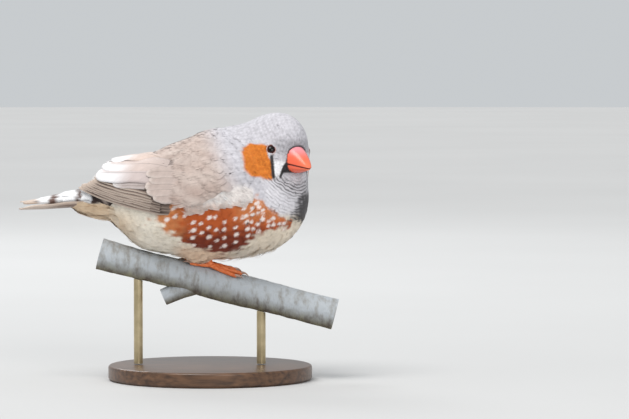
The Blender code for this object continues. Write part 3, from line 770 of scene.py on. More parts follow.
def moved_range(tree, value, given, wanted):
    """A value between two given ends, moved between two wanted ones."""
    inputs = {"Value": value, "From Min": given[0], "From Max": given[1]}
    inputs.update({"To Min": wanted[0], "To Max": wanted[1]})
    return add_node(tree, "MapRange", inputs)["Result"]


def two_tones(tree, value, dark, light, start=0.0, end=1.0):
    """dark where a value is below start, light where it is above end."""
    node = tree.nodes.new("ShaderNodeValToRGB")
    for element, position, tone in zip(node.color_ramp.elements, (start, end), (dark, light)):
        element.position = position
        element.color = (*tone, 1)
    tree.links.new(value, node.inputs["Fac"])
    return node.outputs["Color"]


def blended(tree, share, first, second):
    """The first colour where share is 0, the second where it is 1."""
    return add_node(tree, "Mix", {"Factor": share, "A": first, "B": second}, data_type="RGBA")["Result"]


def add_colour(tree, shader, colour, share):
    """Gives the shader a colour that is made darker or lighter by share."""
    scaled = add_node(tree, "VectorMath", {0: colour, "Scale": share}, operation="SCALE")
    tree.links.new(scaled["Vector"], shader.inputs["Base Color"])


def add_relief(tree, shader, height, strength, depth):
    """Gives the shader a relief, with its depth in metres."""
    relief = add_node(tree, "Bump", {"Height": height, "Strength": strength, "Distance": depth})
    tree.links.new(relief["Normal"], shader.inputs["Normal"])


# The fine bars of the throat: millimetres from one to the next, and how far they waver
BAR_PERIOD = 1.03
BAR_WAVER = 1.7
SHEEN = 0.15


def plumage_material():
    """Small feathers: their own colours, with fine uneven streaks and the throat's bars."""
    material, tree, shader = new_material("plumage_soft", 0.75, 0.25)
    plumage = own_colour(tree)
    place = object_place(tree)
    noise = noise_at(tree, place, 900.0, 3.0)
    streaks = moved_range(tree, noise, (0.25, 0.75), (0.92, 1.06))
    centre = {0: place, 1: BILL_BASE * MM}
    away = add_node(tree, "VectorMath", centre, operation="DISTANCE")["Value"]
    bent = worked_out(tree, "MULTIPLY_ADD", noise_at(tree, place, 350.0, 1.0), BAR_WAVER * MM, away)
    turns = worked_out(tree, "MULTIPLY", bent, 2 * math.pi / (BAR_PERIOD * MM))
    bars = moved_range(tree, worked_out(tree, "SINE", turns), (0.0, 0.6), (0.0, 1.0))
    strength = worked_out(tree, "MULTIPLY", bars, plumage["Alpha"])
    barred = blended(tree, strength, plumage["Color"], (*BAR_DARK, 1.0))
    add_colour(tree, shader, barred, streaks)
    shader.inputs["Sheen Weight"].default_value = SHEEN
    shader.inputs["Sheen Roughness"].default_value = 0.5
    add_relief(tree, shader, noise, 0.2, 0.00005)
    return material


def noisy_material(name, dark, light, roughness, scale, depth, stretch=(1, 1, 1), detail=6.0):
    """Two tones mottled by noise, with the same noise as relief."""
    material, tree, shader = new_material(name, roughness)
    grain = add_node(tree, "Mapping", {"Vector": object_place(tree), "Scale": stretch})["Vector"]
    noise = noise_at(tree, grain, scale, detail)
    tree.links.new(two_tones(tree, noise, dark, light, 0.3, 0.7), shader.inputs["Base Color"])
    add_relief(tree, shader, noise, 0.6, depth)
    return material


# The skin, one closed surface under the whole coat


def inner_flesh(points):
    """The form of the skin, inside the coat by its depth."""
    return coat_form(points) + coat_depth(points)


def spine_map(points):
    """An unwrap of the body: the way along its spine, and the angle round it."""
    x, y, z = points.T
    middle = np.interp(x, BODY_BALLS[:, 0], BODY_BALLS[:, 1])
    lift = ramp(z + 0.6 * x, 78.0, 96.0)
    level = (x + 66.0) / 104.0
    along = level * (1 - lift) + (level * 0.4 + z / 90.0 * 0.6) * lift
    around = np.arctan2(y, z - middle) / (2 * math.pi) + 0.5
    return np.stack([np.clip(along, 0.01, 0.99), np.clip(around, 0.01, 0.99)], axis=1)


SKIN_CENTRE = (-9.0, 0.0, 61.0)
SKIN_AXIS = (1, 0, 0.05)
SKIN_LINE = 21.0
# How much darker the skin is than the coat over it: painted shade deep between the feathers
SKIN_PAINTED_SHADE = 0.92


def make_skin(material):
    """The skin, which takes the place of the solids of torso, neck and head."""
    points, faces = ball_mesh(inner_flesh, SKIN_CENTRE, 0.0, 34.0, 170, 190, SKIN_AXIS, SKIN_LINE)
    # The skin takes the coat's colours, darkened as painted shade between the feathers
    colours = coat_colour(points) * SKIN_PAINTED_SHADE
    skin = mesh_object("skin", points, faces, material, colours, spine_map(points))
    face_outward(skin)
    place_piece(skin, "fawn", "torso", "neck", "head")
    return points, faces


# Small feathers


# Where the feathers part, seen from the head's middle, the way that they point on the body,
# and how far from the bill they start to and fully point that way
LIE_START = (13.0, 0.0, -4.0)
LIE_BACK = (-1.0, 0.0, -0.12)
LIE_TURN = (20.0, 48.0)


def lie_of(points):
    """The way that the feathers point: away from the bill on the head, then to the tail."""
    bill = from_head([LIE_START])[0]
    from_bill = unit(points - bill)
    back = unit(np.array(LIE_BACK))
    share = ramp(np.linalg.norm(points - bill, axis=1), *LIE_TURN)[:, None] * 0.75
    return unit(from_bill * (1 - share) + back * share)


def scattered(points, faces, spacing, keep, draw):
    """Places spread evenly over a mesh, at least a spacing apart, where keep says so."""
    halves = [f[:3] for f in faces] + [(f[0], f[2], f[3]) for f in faces if len(f) == 4]
    tri = np.array(halves)
    a, b, c = points[tri[:, 0]], points[tri[:, 1]], points[tri[:, 2]]
    middle = (a + b + c) / 3
    area = np.linalg.norm(np.cross(b - a, c - a), axis=1) / 2 * keep(middle)
    count = int(area.sum() / (spacing * spacing) * 3.2)
    pick = draw.choice(len(tri), size=count, p=area / area.sum())
    r, s = np.sqrt(draw.random(count)), draw.random(count)
    spots = a[pick] * (1 - r)[:, None] + b[pick] * (r * (1 - s))[:, None]
    spots = spots + c[pick] * (r * s)[:, None]
    tree = kdtree.KDTree(count)
    for i, spot in enumerate(spots):
        tree.insert(spot, i)
    tree.balance()
    gone = np.zeros(count, bool)
    kept = []
    for i in range(count):
        if gone[i]:
            continue
        kept.append(i)
        for _, j, _ in tree.find_range(spots[i], spacing):
            gone[j] = True
    return spots[kept]


# Places along a small feather's middle line, and the share of it at which it lies highest
STATIONS = 6
CREST = 0.6
# Where along a barb its points are: few where it is covered, more at the open tip
COARSE_STOPS = np.array((0.03, 0.42, 0.76, 1.0))
FINE_STOPS = np.array((0.03, 0.42, 0.66, 0.79, 0.90, 1.0))


# How wide a barb is along its length, as shares of the whole
BARB_TAPER = ((0.0, 0.42, 0.76, 1.0), (0.8, 1.0, 0.72, 0.0))


def feather_paths(form, roots, lies, length, heights, dip):
    """Each feather's middle line over the form, with its ways up and sideways."""
    normals = slope_of(form, roots)
    lies = unit(lies - normals * np.sum(lies * normals, axis=1)[:, None])
    share = np.linspace(0, 1, STATIONS)
    path = roots[:, None, :] + lies[:, None, :] * (length[:, None] * share)[:, :, None]
    rise = 1 - (1 - np.minimum(share / CREST, 1)) ** 2
    fall = (np.maximum(share - CREST, 0) / (1 - CREST)) ** 2
    levels = heights[0][:, None] + (heights[1] - heights[0])[:, None] * rise
    levels = levels - dip * length[:, None] * fall
    flat = settled(form, path.reshape(-1, 3), levels.ravel(), 2)
    ups = slope_of(form, flat).reshape(len(roots), STATIONS, 3)
    path = flat.reshape(len(roots), STATIONS, 3)
    return path, ups, unit(np.cross(ups, unit(np.gradient(path, axis=1))))


def barb_triangles(pairs):
    """The triangles of one barb, a strip over its pairs of points that ends in its tip."""
    pattern = []
    for i in range(pairs - 1):
        a = 2 * i
        pattern += [(a, a + 3, a + 1), (a, a + 2, a + 3)]
    pattern.append((2 * pairs - 2, 2 * pairs, 2 * pairs - 1))
    return np.array(pattern)


def feather_tufts(form, roots, lies, length, width, barbs, heights, draw, stops, ragged, loose,
                  slim=1.7, dip=0.035):
    """Feathers made of narrow barbs that fan from a root to a rounded, ragged tip.

    heights gives how far over the form each feather runs, at its root and at its crest.
    From the crest the tip bends back down by dip times its length. loose is how far the
    barbs part from one flat vane, and slim how broad each one is."""
    count = len(roots)
    path, ups, sides = feather_paths(form, roots, lies, length, heights, dip)
    jitter = draw.normal(0, 0.5 / barbs, (count, barbs))
    spread = np.clip(np.linspace(-1, 1, barbs)[None, :] + jitter, -1.05, 1.05)
    end = 1 - 0.30 * spread**2 - draw.uniform(0, ragged, (count, barbs))
    at = end[:, :, None] * stops
    fan = 0.30 + 0.70 * eased(at / 0.6)
    wide = width[:, None, None]
    barb_width = wide / barbs * slim * np.interp(stops, *BARB_TAPER)
    shift = wide / 2 * spread[:, :, None] * fan
    k = np.minimum((at * (STATIONS - 1)).astype(int), STATIONS - 2)
    t = (at * (STATIONS - 1) - k)[..., None]
    who = np.arange(count)[:, None, None]
    middle, up, side = [row[who, k] * (1 - t) + row[who, k + 1] * t for row in (path, ups, sides)]
    lift = draw.normal(0, loose, (count, barbs))[:, :, None] * stops**1.5 * wide / 2
    middle = middle + side * shift[..., None] + up * (lift - 0.03 * shift**2)[..., None]
    left = middle - side * barb_width[..., None] / 2
    right = middle + side * barb_width[..., None] / 2
    pairs = len(stops) - 1
    order = [half[:, :, i] for i in range(pairs) for half in (left, right)]
    points = np.stack(order + [middle[:, :, pairs]], axis=2).reshape(-1, 3)
    per_barb = 2 * pairs + 1
    first = (np.arange(count * barbs) * per_barb)[:, None, None]
    which = [i for i in range(pairs) for _ in (0, 1)] + [pairs]
    return {
        "roots": roots,
        "points": points,
        "triangles": (first + barb_triangles(pairs)[None]).reshape(-1, 3),
        "shares": at[:, :, which].ravel(),
        "owner": np.repeat(np.arange(count), barbs * per_barb),
        "across": np.repeat(spread.ravel(), per_barb),
        "normals": up[:, :, which].reshape(-1, 3),
    }


# The side of each feather's patch of the bake map
PATCH = 0.003


def tuft_map(roots, owner, shares, across):
    """Each feather's own small patch of the bake map, at its root's place."""
    corner = spine_map(roots)[owner]
    return corner + PATCH * np.stack([across * 0.5, shares - 0.5], axis=1)


def feather_tone_and_painted_shade(shares, owner, count, draw, vary, root_painted_shade):
    """Darker at the covered root as painted shade, and a little different from feather to feather."""
    own = draw.normal(1.0, vary, count)[owner]
    return own * (root_painted_shade + (1 - root_painted_shade) * ramp(shares, 0.15, 0.8))


def eye_places():
    """Both eyes: the ball's middle and the way that it looks."""
    found = []
    for side in (-1, 1):
        start = from_head([(EYE_PLACE[0], side * EYE_PLACE[1], EYE_PLACE[2])])
        place = settled(flesh, start, 0.0, 6)
        way = slope_of(flesh, place)[0]
        found.append((place[0] + way * (EYE_PROUD - EYE_RADIUS), way))
    return found


EYES = eye_places()


def clear_of_face(points, eye_room, bill_room):
    """Which places keep clear of both eyes and of the bill."""
    clear = np.ones(len(points), bool)
    for centre, way in EYES:
        front = centre + way * 1.3
        clear &= np.linalg.norm(points - front, axis=1) > eye_room
    local = to_head(points)
    width = np.interp(local[:, 0], (BILL_ROOT, BILL_TIP), (BILL_HALF_WIDTH, 0))
    height = local[:, 2] - BILL_LINE
    reach = np.where(height > 0, BILL_UPPER_DEPTH, BILL_LOWER_DEPTH)
    across, over = local[:, 1] / (width + bill_room), height / (reach + bill_room)
    return clear & ~((across**2 + over**2 < 1) & (local[:, 0] > 4))


# How low the wing's small coverts show over the flank feathers, and how far forward they
# show before the neck's feathers
COVERTS_LOW = ((-12.0, -1.0, 5.0, 14.0), (59.6, 59.6, 63.3, 65.5))
COVERTS_FRONT = ((60.0, 66.0, 72.0, 80.0), (12.0, 9.0, 6.5, 4.0))


def in_wing_coat(x, z, room):
    """Where the wing's own small coverts grow, drawn in by room."""
    inside = (arm_share(x, wing_angle(x, z)) < 1.0 - room / 15) & (x > -14.0)
    over = z > np.interp(x, *COVERTS_LOW) + room
    return inside & over & (x < np.interp(z, *COVERTS_FRONT) - room)


def under_wing(points):
    """1 where the small coverts of a wing cover the body."""
    x, y, z = points.T
    return in_wing_coat(x, z, 1.5) * (np.abs(y) > 6)


def on_face(points):
    return (head_share(points) > 0.72) * 1.0


def on_neck(points):
    share = head_share(points)
    return ((share <= 0.76) & (share > 0.02)) * 1.0


def on_body(points):
    return (head_share(points) <= 0.30) * (1.0 - under_wing(points))


def on_belly(points):
    x, y, z = points.T
    return (z < 49.5 - 0.1 * x) * (x > -26) * (x < 24) * 1.0


# Each part of the coat: its name, which places it covers, how far apart its feathers grow,
# their shortest and longest and their width, the number of barbs, how far the crests stand
# out, the stops along a barb, how loose the barbs are, how ragged their tips, how broad each
COAT = (
    ("coat_face", on_face, 0.38, (1.3, 1.9), 0.60, 6, 0.02, COARSE_STOPS, 0.012, 0.25, 2.2),
    ("coat_neck", on_neck, 0.60, (2.6, 3.8), 1.55, 9, 0.03, COARSE_STOPS, 0.015, 0.22, 2.4),
    ("coat_body", on_body, 1.2, (4.8, 6.6), 3.2, 12, 0.08, FINE_STOPS, 0.020, 0.18, 2.3),
    ("coat_belly", on_belly, 2.2, (6.5, 9.0), 2.6, 11, 0.50, COARSE_STOPS, 0.12, 0.30, 1.3),
)
TRIANGLE_LIMIT = 190000
EYE_CLEAR = 1.55
BILL_CLEAR = -0.15
# Feathers are shorter and narrower round the bill: its middle, and from where to where
BILL_FRONT = (9.5, 0.0, -5.0)
BILL_NEAR = (2.0, 9.0)
# How far over the skin the roots are, and how much the feathers' ways differ
ROOT_LEVEL = 0.05
LIE_STRAY = 0.06
# No feathers grow behind and above this place, where the tail's are
RUMP_END = (-33.0, 60.0)


def make_coat(skin_points, skin_faces, material):
    """The small feathers of face, neck, body and belly, rooted just over the skin."""
    bill_front = from_head([BILL_FRONT])[0]
    for name, keep, spacing, lengths, width, barbs, proud, stops, loose, ragged, slim in COAT:
        draw = np.random.default_rng(len(name) * 31)
        roots = scattered(skin_points, skin_faces, spacing, keep, draw)
        roots = roots[clear_of_face(roots, EYE_CLEAR, BILL_CLEAR)]
        roots = roots[(roots[:, 0] > RUMP_END[0]) | (roots[:, 2] < RUMP_END[1])]
        away = np.linalg.norm(roots - bill_front, axis=1)
        near = ramp(away, *BILL_NEAR)
        length = draw.uniform(*lengths, len(roots)) * (0.55 + 0.45 * near)
        length = length * (1 + 0.35 * ramp(roots[:, 0], -16.0, -30.0))
        wide = draw.uniform(0.85, 1.15, len(roots)) * width * (0.6 + 0.4 * near)
        low = -coat_depth(roots) + ROOT_LEVEL
        lower_front = ramp(roots[:, 2], 50.0, 45.0) * ramp(roots[:, 0], 4.0, 12.0)
        high = draw.uniform(-0.9, 1.0, len(roots)) * proud + 1.6 * proud * lower_front
        lies = lie_of(roots) + draw.normal(0, LIE_STRAY, (len(roots), 3))
        levels = (low, high)
        tufts = feather_tufts(
            coat_form, roots, lies, length, wide, barbs, levels, draw, stops, ragged, loose, slim
        )
        build_tufts(name, tufts, coat_colour, material, draw, bar_share)


def build_tufts(name, tufts, colour_of, material, draw, bars_of=None, vary=0.035, dark=0.92):
    """Fawn pieces of the coat, each with at most the allowed number of triangles."""
    count = len(tufts["roots"])
    points, triangles = tufts["points"], tufts["triangles"]
    per_feather = len(points) // count
    tri_per_feather = len(triangles) // count
    step = max(1, TRIANGLE_LIMIT // tri_per_feather)
    # Each feather's tone varies a little, and its covered root is darker by dark, as painted shade
    tone_and_painted_shade = feather_tone_and_painted_shade(tufts["shares"], tufts["owner"], count, draw, vary, dark)
    colours = colour_of(points) * tone_and_painted_shade[:, None]
    bars = bars_of(points) if bars_of else np.zeros(len(points))
    patch = tuft_map(tufts["roots"], tufts["owner"], tufts["shares"], tufts["across"])
    for piece, start in enumerate(range(0, count, step)):
        stop = min(start + step, count)
        p = slice(start * per_feather, stop * per_feather)
        t = triangles[start * tri_per_feather : stop * tri_per_feather] - start * per_feather
        looks = (colours[p], patch[p], bars[p], tufts["normals"][p])
        place_piece(mesh_object(f"{name}_{piece + 1}", points[p], t, material, *looks), "fawn")


# Flight feathers

# Each row: name, count, roots and tips of the first and last feather as x and z seen from
# the side, half-width, height over the wing's bed, where the tip starts to round, how far
# it bends up midway, and the shares of its length between which it rises out of the body.
WING_ROWS = (
    ("primary", 8, (-4.0, 54.8), (-6.0, 60.8), (-43.4, 64.4), (-38.0, 66.8),
     1.9, 0.30, 0.55, 0.0, (0.16, 0.30)),
    ("secondary", 6, (-3.0, 62.0), (-3.0, 69.5), (-31.5, 65.2), (-35.0, 69.4),
     2.3, 0.80, 0.78, 1.1, (0.0, 0.30)),
    ("tertial", 3, (-4.0, 66.5), (-6.0, 71.8), (-37.5, 67.7), (-32.8, 72.4),
     3.5, 1.15, 0.80, 0.5, (0.0, 0.30)),
    ("greater_covert", 5, (1.0, 60.8), (0.0, 68.5), (-18.9, 61.2), (-21.2, 67.4),
     2.6, 1.45, 0.66, 0.8, (0.0, 0.30)),
)
VANE_LENGTHWISE = 16
VANE_ACROSS = 9
VANE_THICK = 0.16
# How much higher each feather of a row lies than the one before, and how far it leans over
VANE_STEP = 0.06
VANE_TILT = -0.22
# How deep the roots lie under the wing's bed
ROOT_SUNK = {"primary": -1.9, "secondary": -0.9, "tertial": -0.9, "greater_covert": -0.9}
# How far the tips stray from their even row, forward or back
TIP_STRAY = {"primary": 0.5, "secondary": 0.5, "tertial": 0.5, "greater_covert": 1.2}
# The topmost tertial rises late, and its inner half drops onto the back
TOP_TERTIAL_RISE = (0.20, 0.60)
TOP_TERTIAL_DROP = 2.1
VANE_BASE = {
    "primary": (0.46, 0.35, 0.29),
    "secondary": (0.47, 0.40, 0.385),
    "tertial": (0.64, 0.51, 0.45),
    "greater_covert": (0.53, 0.43, 0.39),
}


def wing_place(x, angle, side, level):
    """Places over the wing's bed, from places along the body and degrees up round it."""
    x, angle = np.asarray(x, float), np.radians(np.asarray(angle, float))
    z = np.interp(x, WING_BALLS[:, 0], WING_BALLS[:, 1])
    starts = np.stack([x, 0 * x, z], axis=1)
    ways = np.stack([0 * x, side * np.cos(angle), np.sin(angle)], axis=1)
    return reached(wing_bed, starts, ways, level, 40.0)


def vane_steps():
    """Shares of a feather's length, closer together towards its tip."""
    return 1 - (1 - np.linspace(0, 1, VANE_LENGTHWISE)) ** 1.5


def vane_outline(q, blunt):
    """Shares of the half-width: narrow at the root, rounded from the share blunt to the tip."""
    root = 0.45 + 0.55 * eased(q / 0.4)
    tip = np.sqrt(np.clip(1 - np.clip((q - blunt) / (1 - blunt), 0, 1) ** 2.2, 0, 1))
    return root * np.maximum(tip, 0.04)


def vane_faces(count, n):
    """The faces of a closed vane: its underside, its top and its four edges."""
    faces = []
    base = count * n
    for i in range(count - 1):
        for j in range(n - 1):
            a = i * n + j
            faces.append((a, a + n, a + n + 1, a + 1))
            faces.append((base + a, base + a + 1, base + a + n + 1, base + a + n))
        a = i * n
        faces.append((a, base + a, base + a + n, a + n))
        a = i * n + n - 1
        faces.append((a, a + n, base + a + n, base + a))
    for j in range(n - 1):
        faces.append((j, j + 1, base + j + 1, base + j))
        a = (count - 1) * n + j
        faces.append((a, base + a, base + a + 1, a + 1))
    return np.array(faces)


def vane_surface(middle, half_width, blunt, form, level, draw, tilt=0.0, drop=0.0, drop_side=1.0):
    """A thin closed vane over a middle line, with a raised shaft and a notched edge.

    tilt leans the whole vane over, and drop lowers the half on drop_side."""
    count = len(middle)
    q = vane_steps()
    along = unit(np.gradient(middle, axis=0))
    side = unit(np.cross(along, slope_of(form, middle)))
    s = np.linspace(-1, 1, VANE_ACROSS)
    width = half_width * vane_outline(q, blunt)
    notch = 1 + 0.05 * np.sin(q * 23 + draw.uniform(0, 6)) * (q > 0.3)
    reach = s[None, :] * width[:, None] * notch[:, None]
    sweep = -0.35 * np.abs(reach)
    grid = middle[:, None] + side[:, None] * reach[..., None] - along[:, None] * sweep[..., None]
    dropped = drop * np.clip(drop_side * s[None, :], 0, 1) ** 1.5
    levels = level[:, None] + tilt * s[None, :] - dropped
    grid = settled(form, grid.reshape(-1, 3), levels.ravel(), 3)
    ups = slope_of(form, grid)
    s_grid = np.tile(s, count)
    thick = VANE_THICK * (1 - 0.6 * np.abs(s_grid))
    ridge = 0.16 * np.exp(-((s_grid / 0.10) ** 2)) * np.repeat(1 - q, VANE_ACROSS)
    camber = 0.22 * (1 - s_grid**2) * half_width / 2.5
    low = grid + ups * camber[:, None]
    top = grid + ups * (camber + thick + ridge)[:, None]
    q_all = np.tile(np.repeat(q, VANE_ACROSS), 2)
    return np.vstack([low, top]), vane_faces(count, VANE_ACROSS), q_all, np.tile(s_grid, 2)


def vane_layers(kind, index, q, s):
    """The dark centres, pale edges and tips of each kind of feather, over its base colour, with painted
    shadow along the covered edge of primaries and secondaries.
    """
    if kind == "primary":
        # Dark band towards the edge that the next primary covers: painted shadow of that feather, and
        # partly the dark inner web
        dark = band(s, -0.70, 0.0, 0.3) * ramp(q, 1.0, 0.9) * ramp(q, 0.14, 0.26)
        return (
            ((0.05, 0.03, 0.022), dark),
            ((0.78, 0.66, 0.56), ramp(s, -0.80, -0.92)),
            ((0.62, 0.51, 0.43), ramp(q, 0.88, 1.0) * 0.8),
        )
    if kind == "secondary":
        return (
            # Darker towards the edge that the next secondary covers: painted shadow
            ((0.20, 0.145, 0.12), ramp(s, -0.66, -0.40) * 0.6),
            ((0.70, 0.63, 0.60), ramp(s, -0.72, -0.90) * 0.9),
            ((0.86, 0.82, 0.81), ramp(q, 0.86, 0.97) * ramp(s, 0.2, -0.6) * 0.8),
        )
    if kind == "tertial":
        return (
            ((0.55, 0.47, 0.46), np.full(len(q), 0.8 - 0.4 * index)),
            ((0.88, 0.87, 0.89), ramp(q, 0.60, 0.84) * ramp(s, 0.35, -0.35)),
            ((0.88, 0.86, 0.87), ramp(q, 0.88, 0.98)),
        )
    return (
        ((0.36, 0.285, 0.25), ramp(np.abs(s), 0.55, 0.20) * ramp(q, 0.55, 0.9) * 0.35),
        ((0.72, 0.63, 0.58), ramp(s, -0.66, -0.92) * 0.9),
        ((0.70, 0.61, 0.56), ramp(q, 0.90, 1.0) * 0.8),
    )


def vane_colour(kind, index, q, s, draw):
    """Colours along and across one flight feather, darker towards the covered root as painted shade. s
    is -1 at its lower edge.
    """
    colour = plain(VANE_BASE[kind], q) * draw.uniform(0.94, 1.06)
    streak = 0.05 * np.sin(q * 60 + np.abs(s) * 26)
    colour = layered(colour * (1 + streak)[:, None], *vane_layers(kind, index, q, s))
    # Darker towards the root, which the coverts cover: painted shade
    return colour * (0.75 + 0.25 * ramp(q, 0.1, 0.6))[:, None]


def new_store():
    """Vanes that become one piece, and how many points they have so far."""
    return {"points": [], "faces": [], "colours": [], "local": [], "count": 0}


def add_vane(store, points, faces, colours, q, s):
    """Joins a vane to those already made."""
    store["faces"].append(faces + store["count"])
    store["points"].append(points)
    store["colours"].append(colours)
    store["local"].append(np.stack([(s + 1) / 2, q], axis=1))
    store["count"] += len(points)


def store_object(name, store, material, slot, *nodes):
    """One piece from all vanes, each with its own island of the bake map."""
    columns = math.ceil(math.sqrt(len(store["local"])))
    patch = []
    for island, local in enumerate(store["local"]):
        corner = np.array((island % columns, island // columns)) / columns
        patch.append(corner + (0.06 + 0.88 * local) / columns)
    points, faces = np.vstack(store["points"]), np.vstack(store["faces"])
    obj = mesh_object(name, points, faces, material, np.vstack(store["colours"]), np.vstack(patch))
    detail = obj.data.uv_layers.new(name="barbs", do_init=False)
    index = np.empty(len(obj.data.loops), np.int32)
    obj.data.loops.foreach_get("vertex_index", index)
    detail.uv.foreach_set("vector", np.vstack(store["local"]).astype(np.float32)[index].ravel())
    place_piece(obj, slot, *nodes)
    face_outward(obj)


def vane_material():
    """Flight feathers: their own colours, with a shaft and the fine slanting lines of barbs."""
    material, tree, shader = new_material("plumage_vanes", 0.55, 0.3)
    local = add_node(tree, "UVMap", {}, uv_map="barbs")["UV"]
    parts = add_node(tree, "SeparateXYZ", {"Vector": local})
    away = worked_out(tree, "ABSOLUTE", worked_out(tree, "SUBTRACT", parts["X"], 0.5))
    slant = worked_out(tree, "MULTIPLY_ADD", away, -0.16, parts["Y"])
    lines = worked_out(tree, "SINE", worked_out(tree, "MULTIPLY", slant, 900.0))
    slanted = add_node(tree, "CombineXYZ", {"X": parts["X"], "Y": slant})["Vector"]
    drawn_out = add_node(tree, "Mapping", {"Vector": slanted, "Scale": (3.0, 90.0, 1.0)})["Vector"]
    barbs = worked_out(tree, "MULTIPLY_ADD", lines, 0.22, noise_at(tree, drawn_out, 1.0, 3.0))
    streaks = moved_range(tree, barbs, (0.1, 0.9), (0.80, 1.12))
    shaft = moved_range(tree, away, (0.012, 0.030), (0.72, 1.0))
    shaded = worked_out(tree, "MULTIPLY", streaks, shaft)
    add_colour(tree, shader, own_colour(tree)["Color"], shaded)
    add_relief(tree, shader, barbs, 0.45, 0.00008)
    shader.inputs["Sheen Weight"].default_value = SHEEN
    return material


def make_wing(name, side, material, soft_material):
    """One wing: its flight feathers in four tiers, its small coverts and its plume."""
    draw = np.random.default_rng(5 if side > 0 else 6)
    store = new_store()
    for row in WING_ROWS:
        kind, number, root_a, root_b, tip_a, tip_b, half_width, level, blunt, bend, rise_at = row
        stray, sunk = TIP_STRAY[kind], ROOT_SUNK[kind]
        for i in range(number):
            share = i / (number - 1)
            root = np.array(root_a) * (1 - share) + np.array(root_b) * share
            tip = np.array(tip_a) * (1 - share) + np.array(tip_b) * share
            tip = tip + draw.uniform((-stray, -0.2), (stray, 0.2))
            q = vane_steps()
            x = root[0] + (tip[0] - root[0]) * q
            z = root[1] + (tip[1] - root[1]) * q + bend * np.sin(q * math.pi)
            top_tertial = kind == "tertial" and i == number - 1
            start, end = TOP_TERTIAL_RISE if top_tertial else rise_at
            drop = TOP_TERTIAL_DROP if top_tertial else 0.0
            risen = eased((q - start) / (end - start))
            height = sunk + (level + 0.2 - sunk + VANE_STEP * i) * risen
            middle = wing_place(x, wing_angle(x, z), side, height)
            width = half_width * draw.uniform(0.94, 1.06)
            points, faces, q_all, s_all = vane_surface(
                middle, width, blunt, wing_bed, height, draw, VANE_TILT * -side, drop, -side
            )
            colours = vane_colour(kind, i, q_all, s_all * -side, draw)
            add_vane(store, points, faces, colours, q_all, s_all)
    store_object(f"{name}_vanes", store, material, "fawn", name)
    make_wing_coat(name, side, soft_material)
    make_plume(name, side, soft_material)


# How far under the wing's bed its small feathers are rooted
COVERT_ROOT = 1.1
# Rows of small coverts over the wing's arm, from rear to front, and the steps along a row
# from the lower edge to the upper, as shares of the arm's reach
COVERT_ROWS = np.arange(-0.50, 1.0, 0.085)
COVERT_STEPS = np.arange(-1.0, 1.01, 0.07)
# Behind this row only the scapulars above this step grow, over the greater coverts
SCAPULARS = (-0.26, 0.48)
COVERT_BARBS = 15


def make_wing_coat(name, side, material):
    """Scapulars and small coverts, in rows from the back of the wing to its front."""
    draw = np.random.default_rng(40 + side)
    x, angle, length, width = [], [], [], []
    for reach in COVERT_ROWS:
        for step in COVERT_STEPS:
            outside = math.hypot(max(reach, 0.0), step) > 1.0
            if outside or (reach < SCAPULARS[0] and step < SCAPULARS[1]):
                continue
            front = float(ramp(np.array(reach), -0.1, 0.95))
            x.append(ARM_CENTRE[0] + ARM_REACH[0] * (reach + draw.uniform(-0.04, 0.04)))
            angle.append(ARM_CENTRE[1] + ARM_REACH[1] * (step + draw.uniform(-0.03, 0.03)))
            length.append((7.8 + 1.6 * max(step, 0.0) - 4.2 * front) * draw.uniform(0.88, 1.12))
            width.append((4.2 - 2.2 * front) * draw.uniform(0.9, 1.1))
    x, angle, length, width = [np.array(a) for a in (x, angle, length, width)]
    outer = wing_place(x, angle, side, arm_height(x, angle))
    over_flank = outer[:, 2] > np.interp(x, *COVERTS_LOW) + 1.4
    shown = in_wing_coat(x, outer[:, 2], 0.0) & over_flank
    x, angle, length, width = x[shown], angle[shown], length[shown], width[shown]
    tip_x = x - length
    over_vanes = (1.1 + 1.15 * ramp(angle, 46.0, 34.0)) * ramp(angle, 56.0, 44.0)
    over_vanes = over_vanes * ramp(tip_x, -3.0, -8.0)
    high = np.maximum(arm_height(tip_x, angle), over_vanes) + draw.uniform(-0.1, 0.25, len(x))
    low = arm_height(x, angle) - COVERT_ROOT
    places = wing_place(x, angle, side, low)
    slant = -0.12 - 0.40 * ramp(x, -4.0, 9.0)
    lies = np.stack([np.full(len(x), -1.0), 0 * x, slant], axis=1)
    lies = lies + draw.normal(0, 0.05, (len(x), 3))
    tufts = feather_tufts(
        wing_bed, places, lies, length, width, COVERT_BARBS, (low, high), draw, FINE_STOPS,
        0.08, 0.03
    )
    build_tufts(f"{name}_coverts", tufts, covert_colour, material, draw)


def covert_colour(points):
    """Brownish fawn, greyer towards the neck."""
    colour = mixed(plain(FAWN, points), FAWN_PALE, 0.35 + 0.3 * ripple(points, 6.0, 21))
    forward = points[:, 0] + 0.45 * (points[:, 2] - 70)
    return mixed(colour, HEAD_GREY, ramp(forward, 0.0, 11.0) * 0.9)


def plume_colour(points):
    """Pinkish white, browner low down where it meets the chestnut."""
    low = ramp(points[:, 2] + ripple(points, 2.5, 61), 61.0, 57.5)
    return mixed(plain(PLUME, points), (0.66, 0.44, 0.34), low * 0.6)


PLUME_COUNT = 260
PLUME_BARBS = 7
# Where its feathers grow: along the body, and up before the rise towards the front
PLUME_X = (-5.0, 15.0)
PLUME_Z = (56.2, 60.6)
PLUME_RISE = 0.16


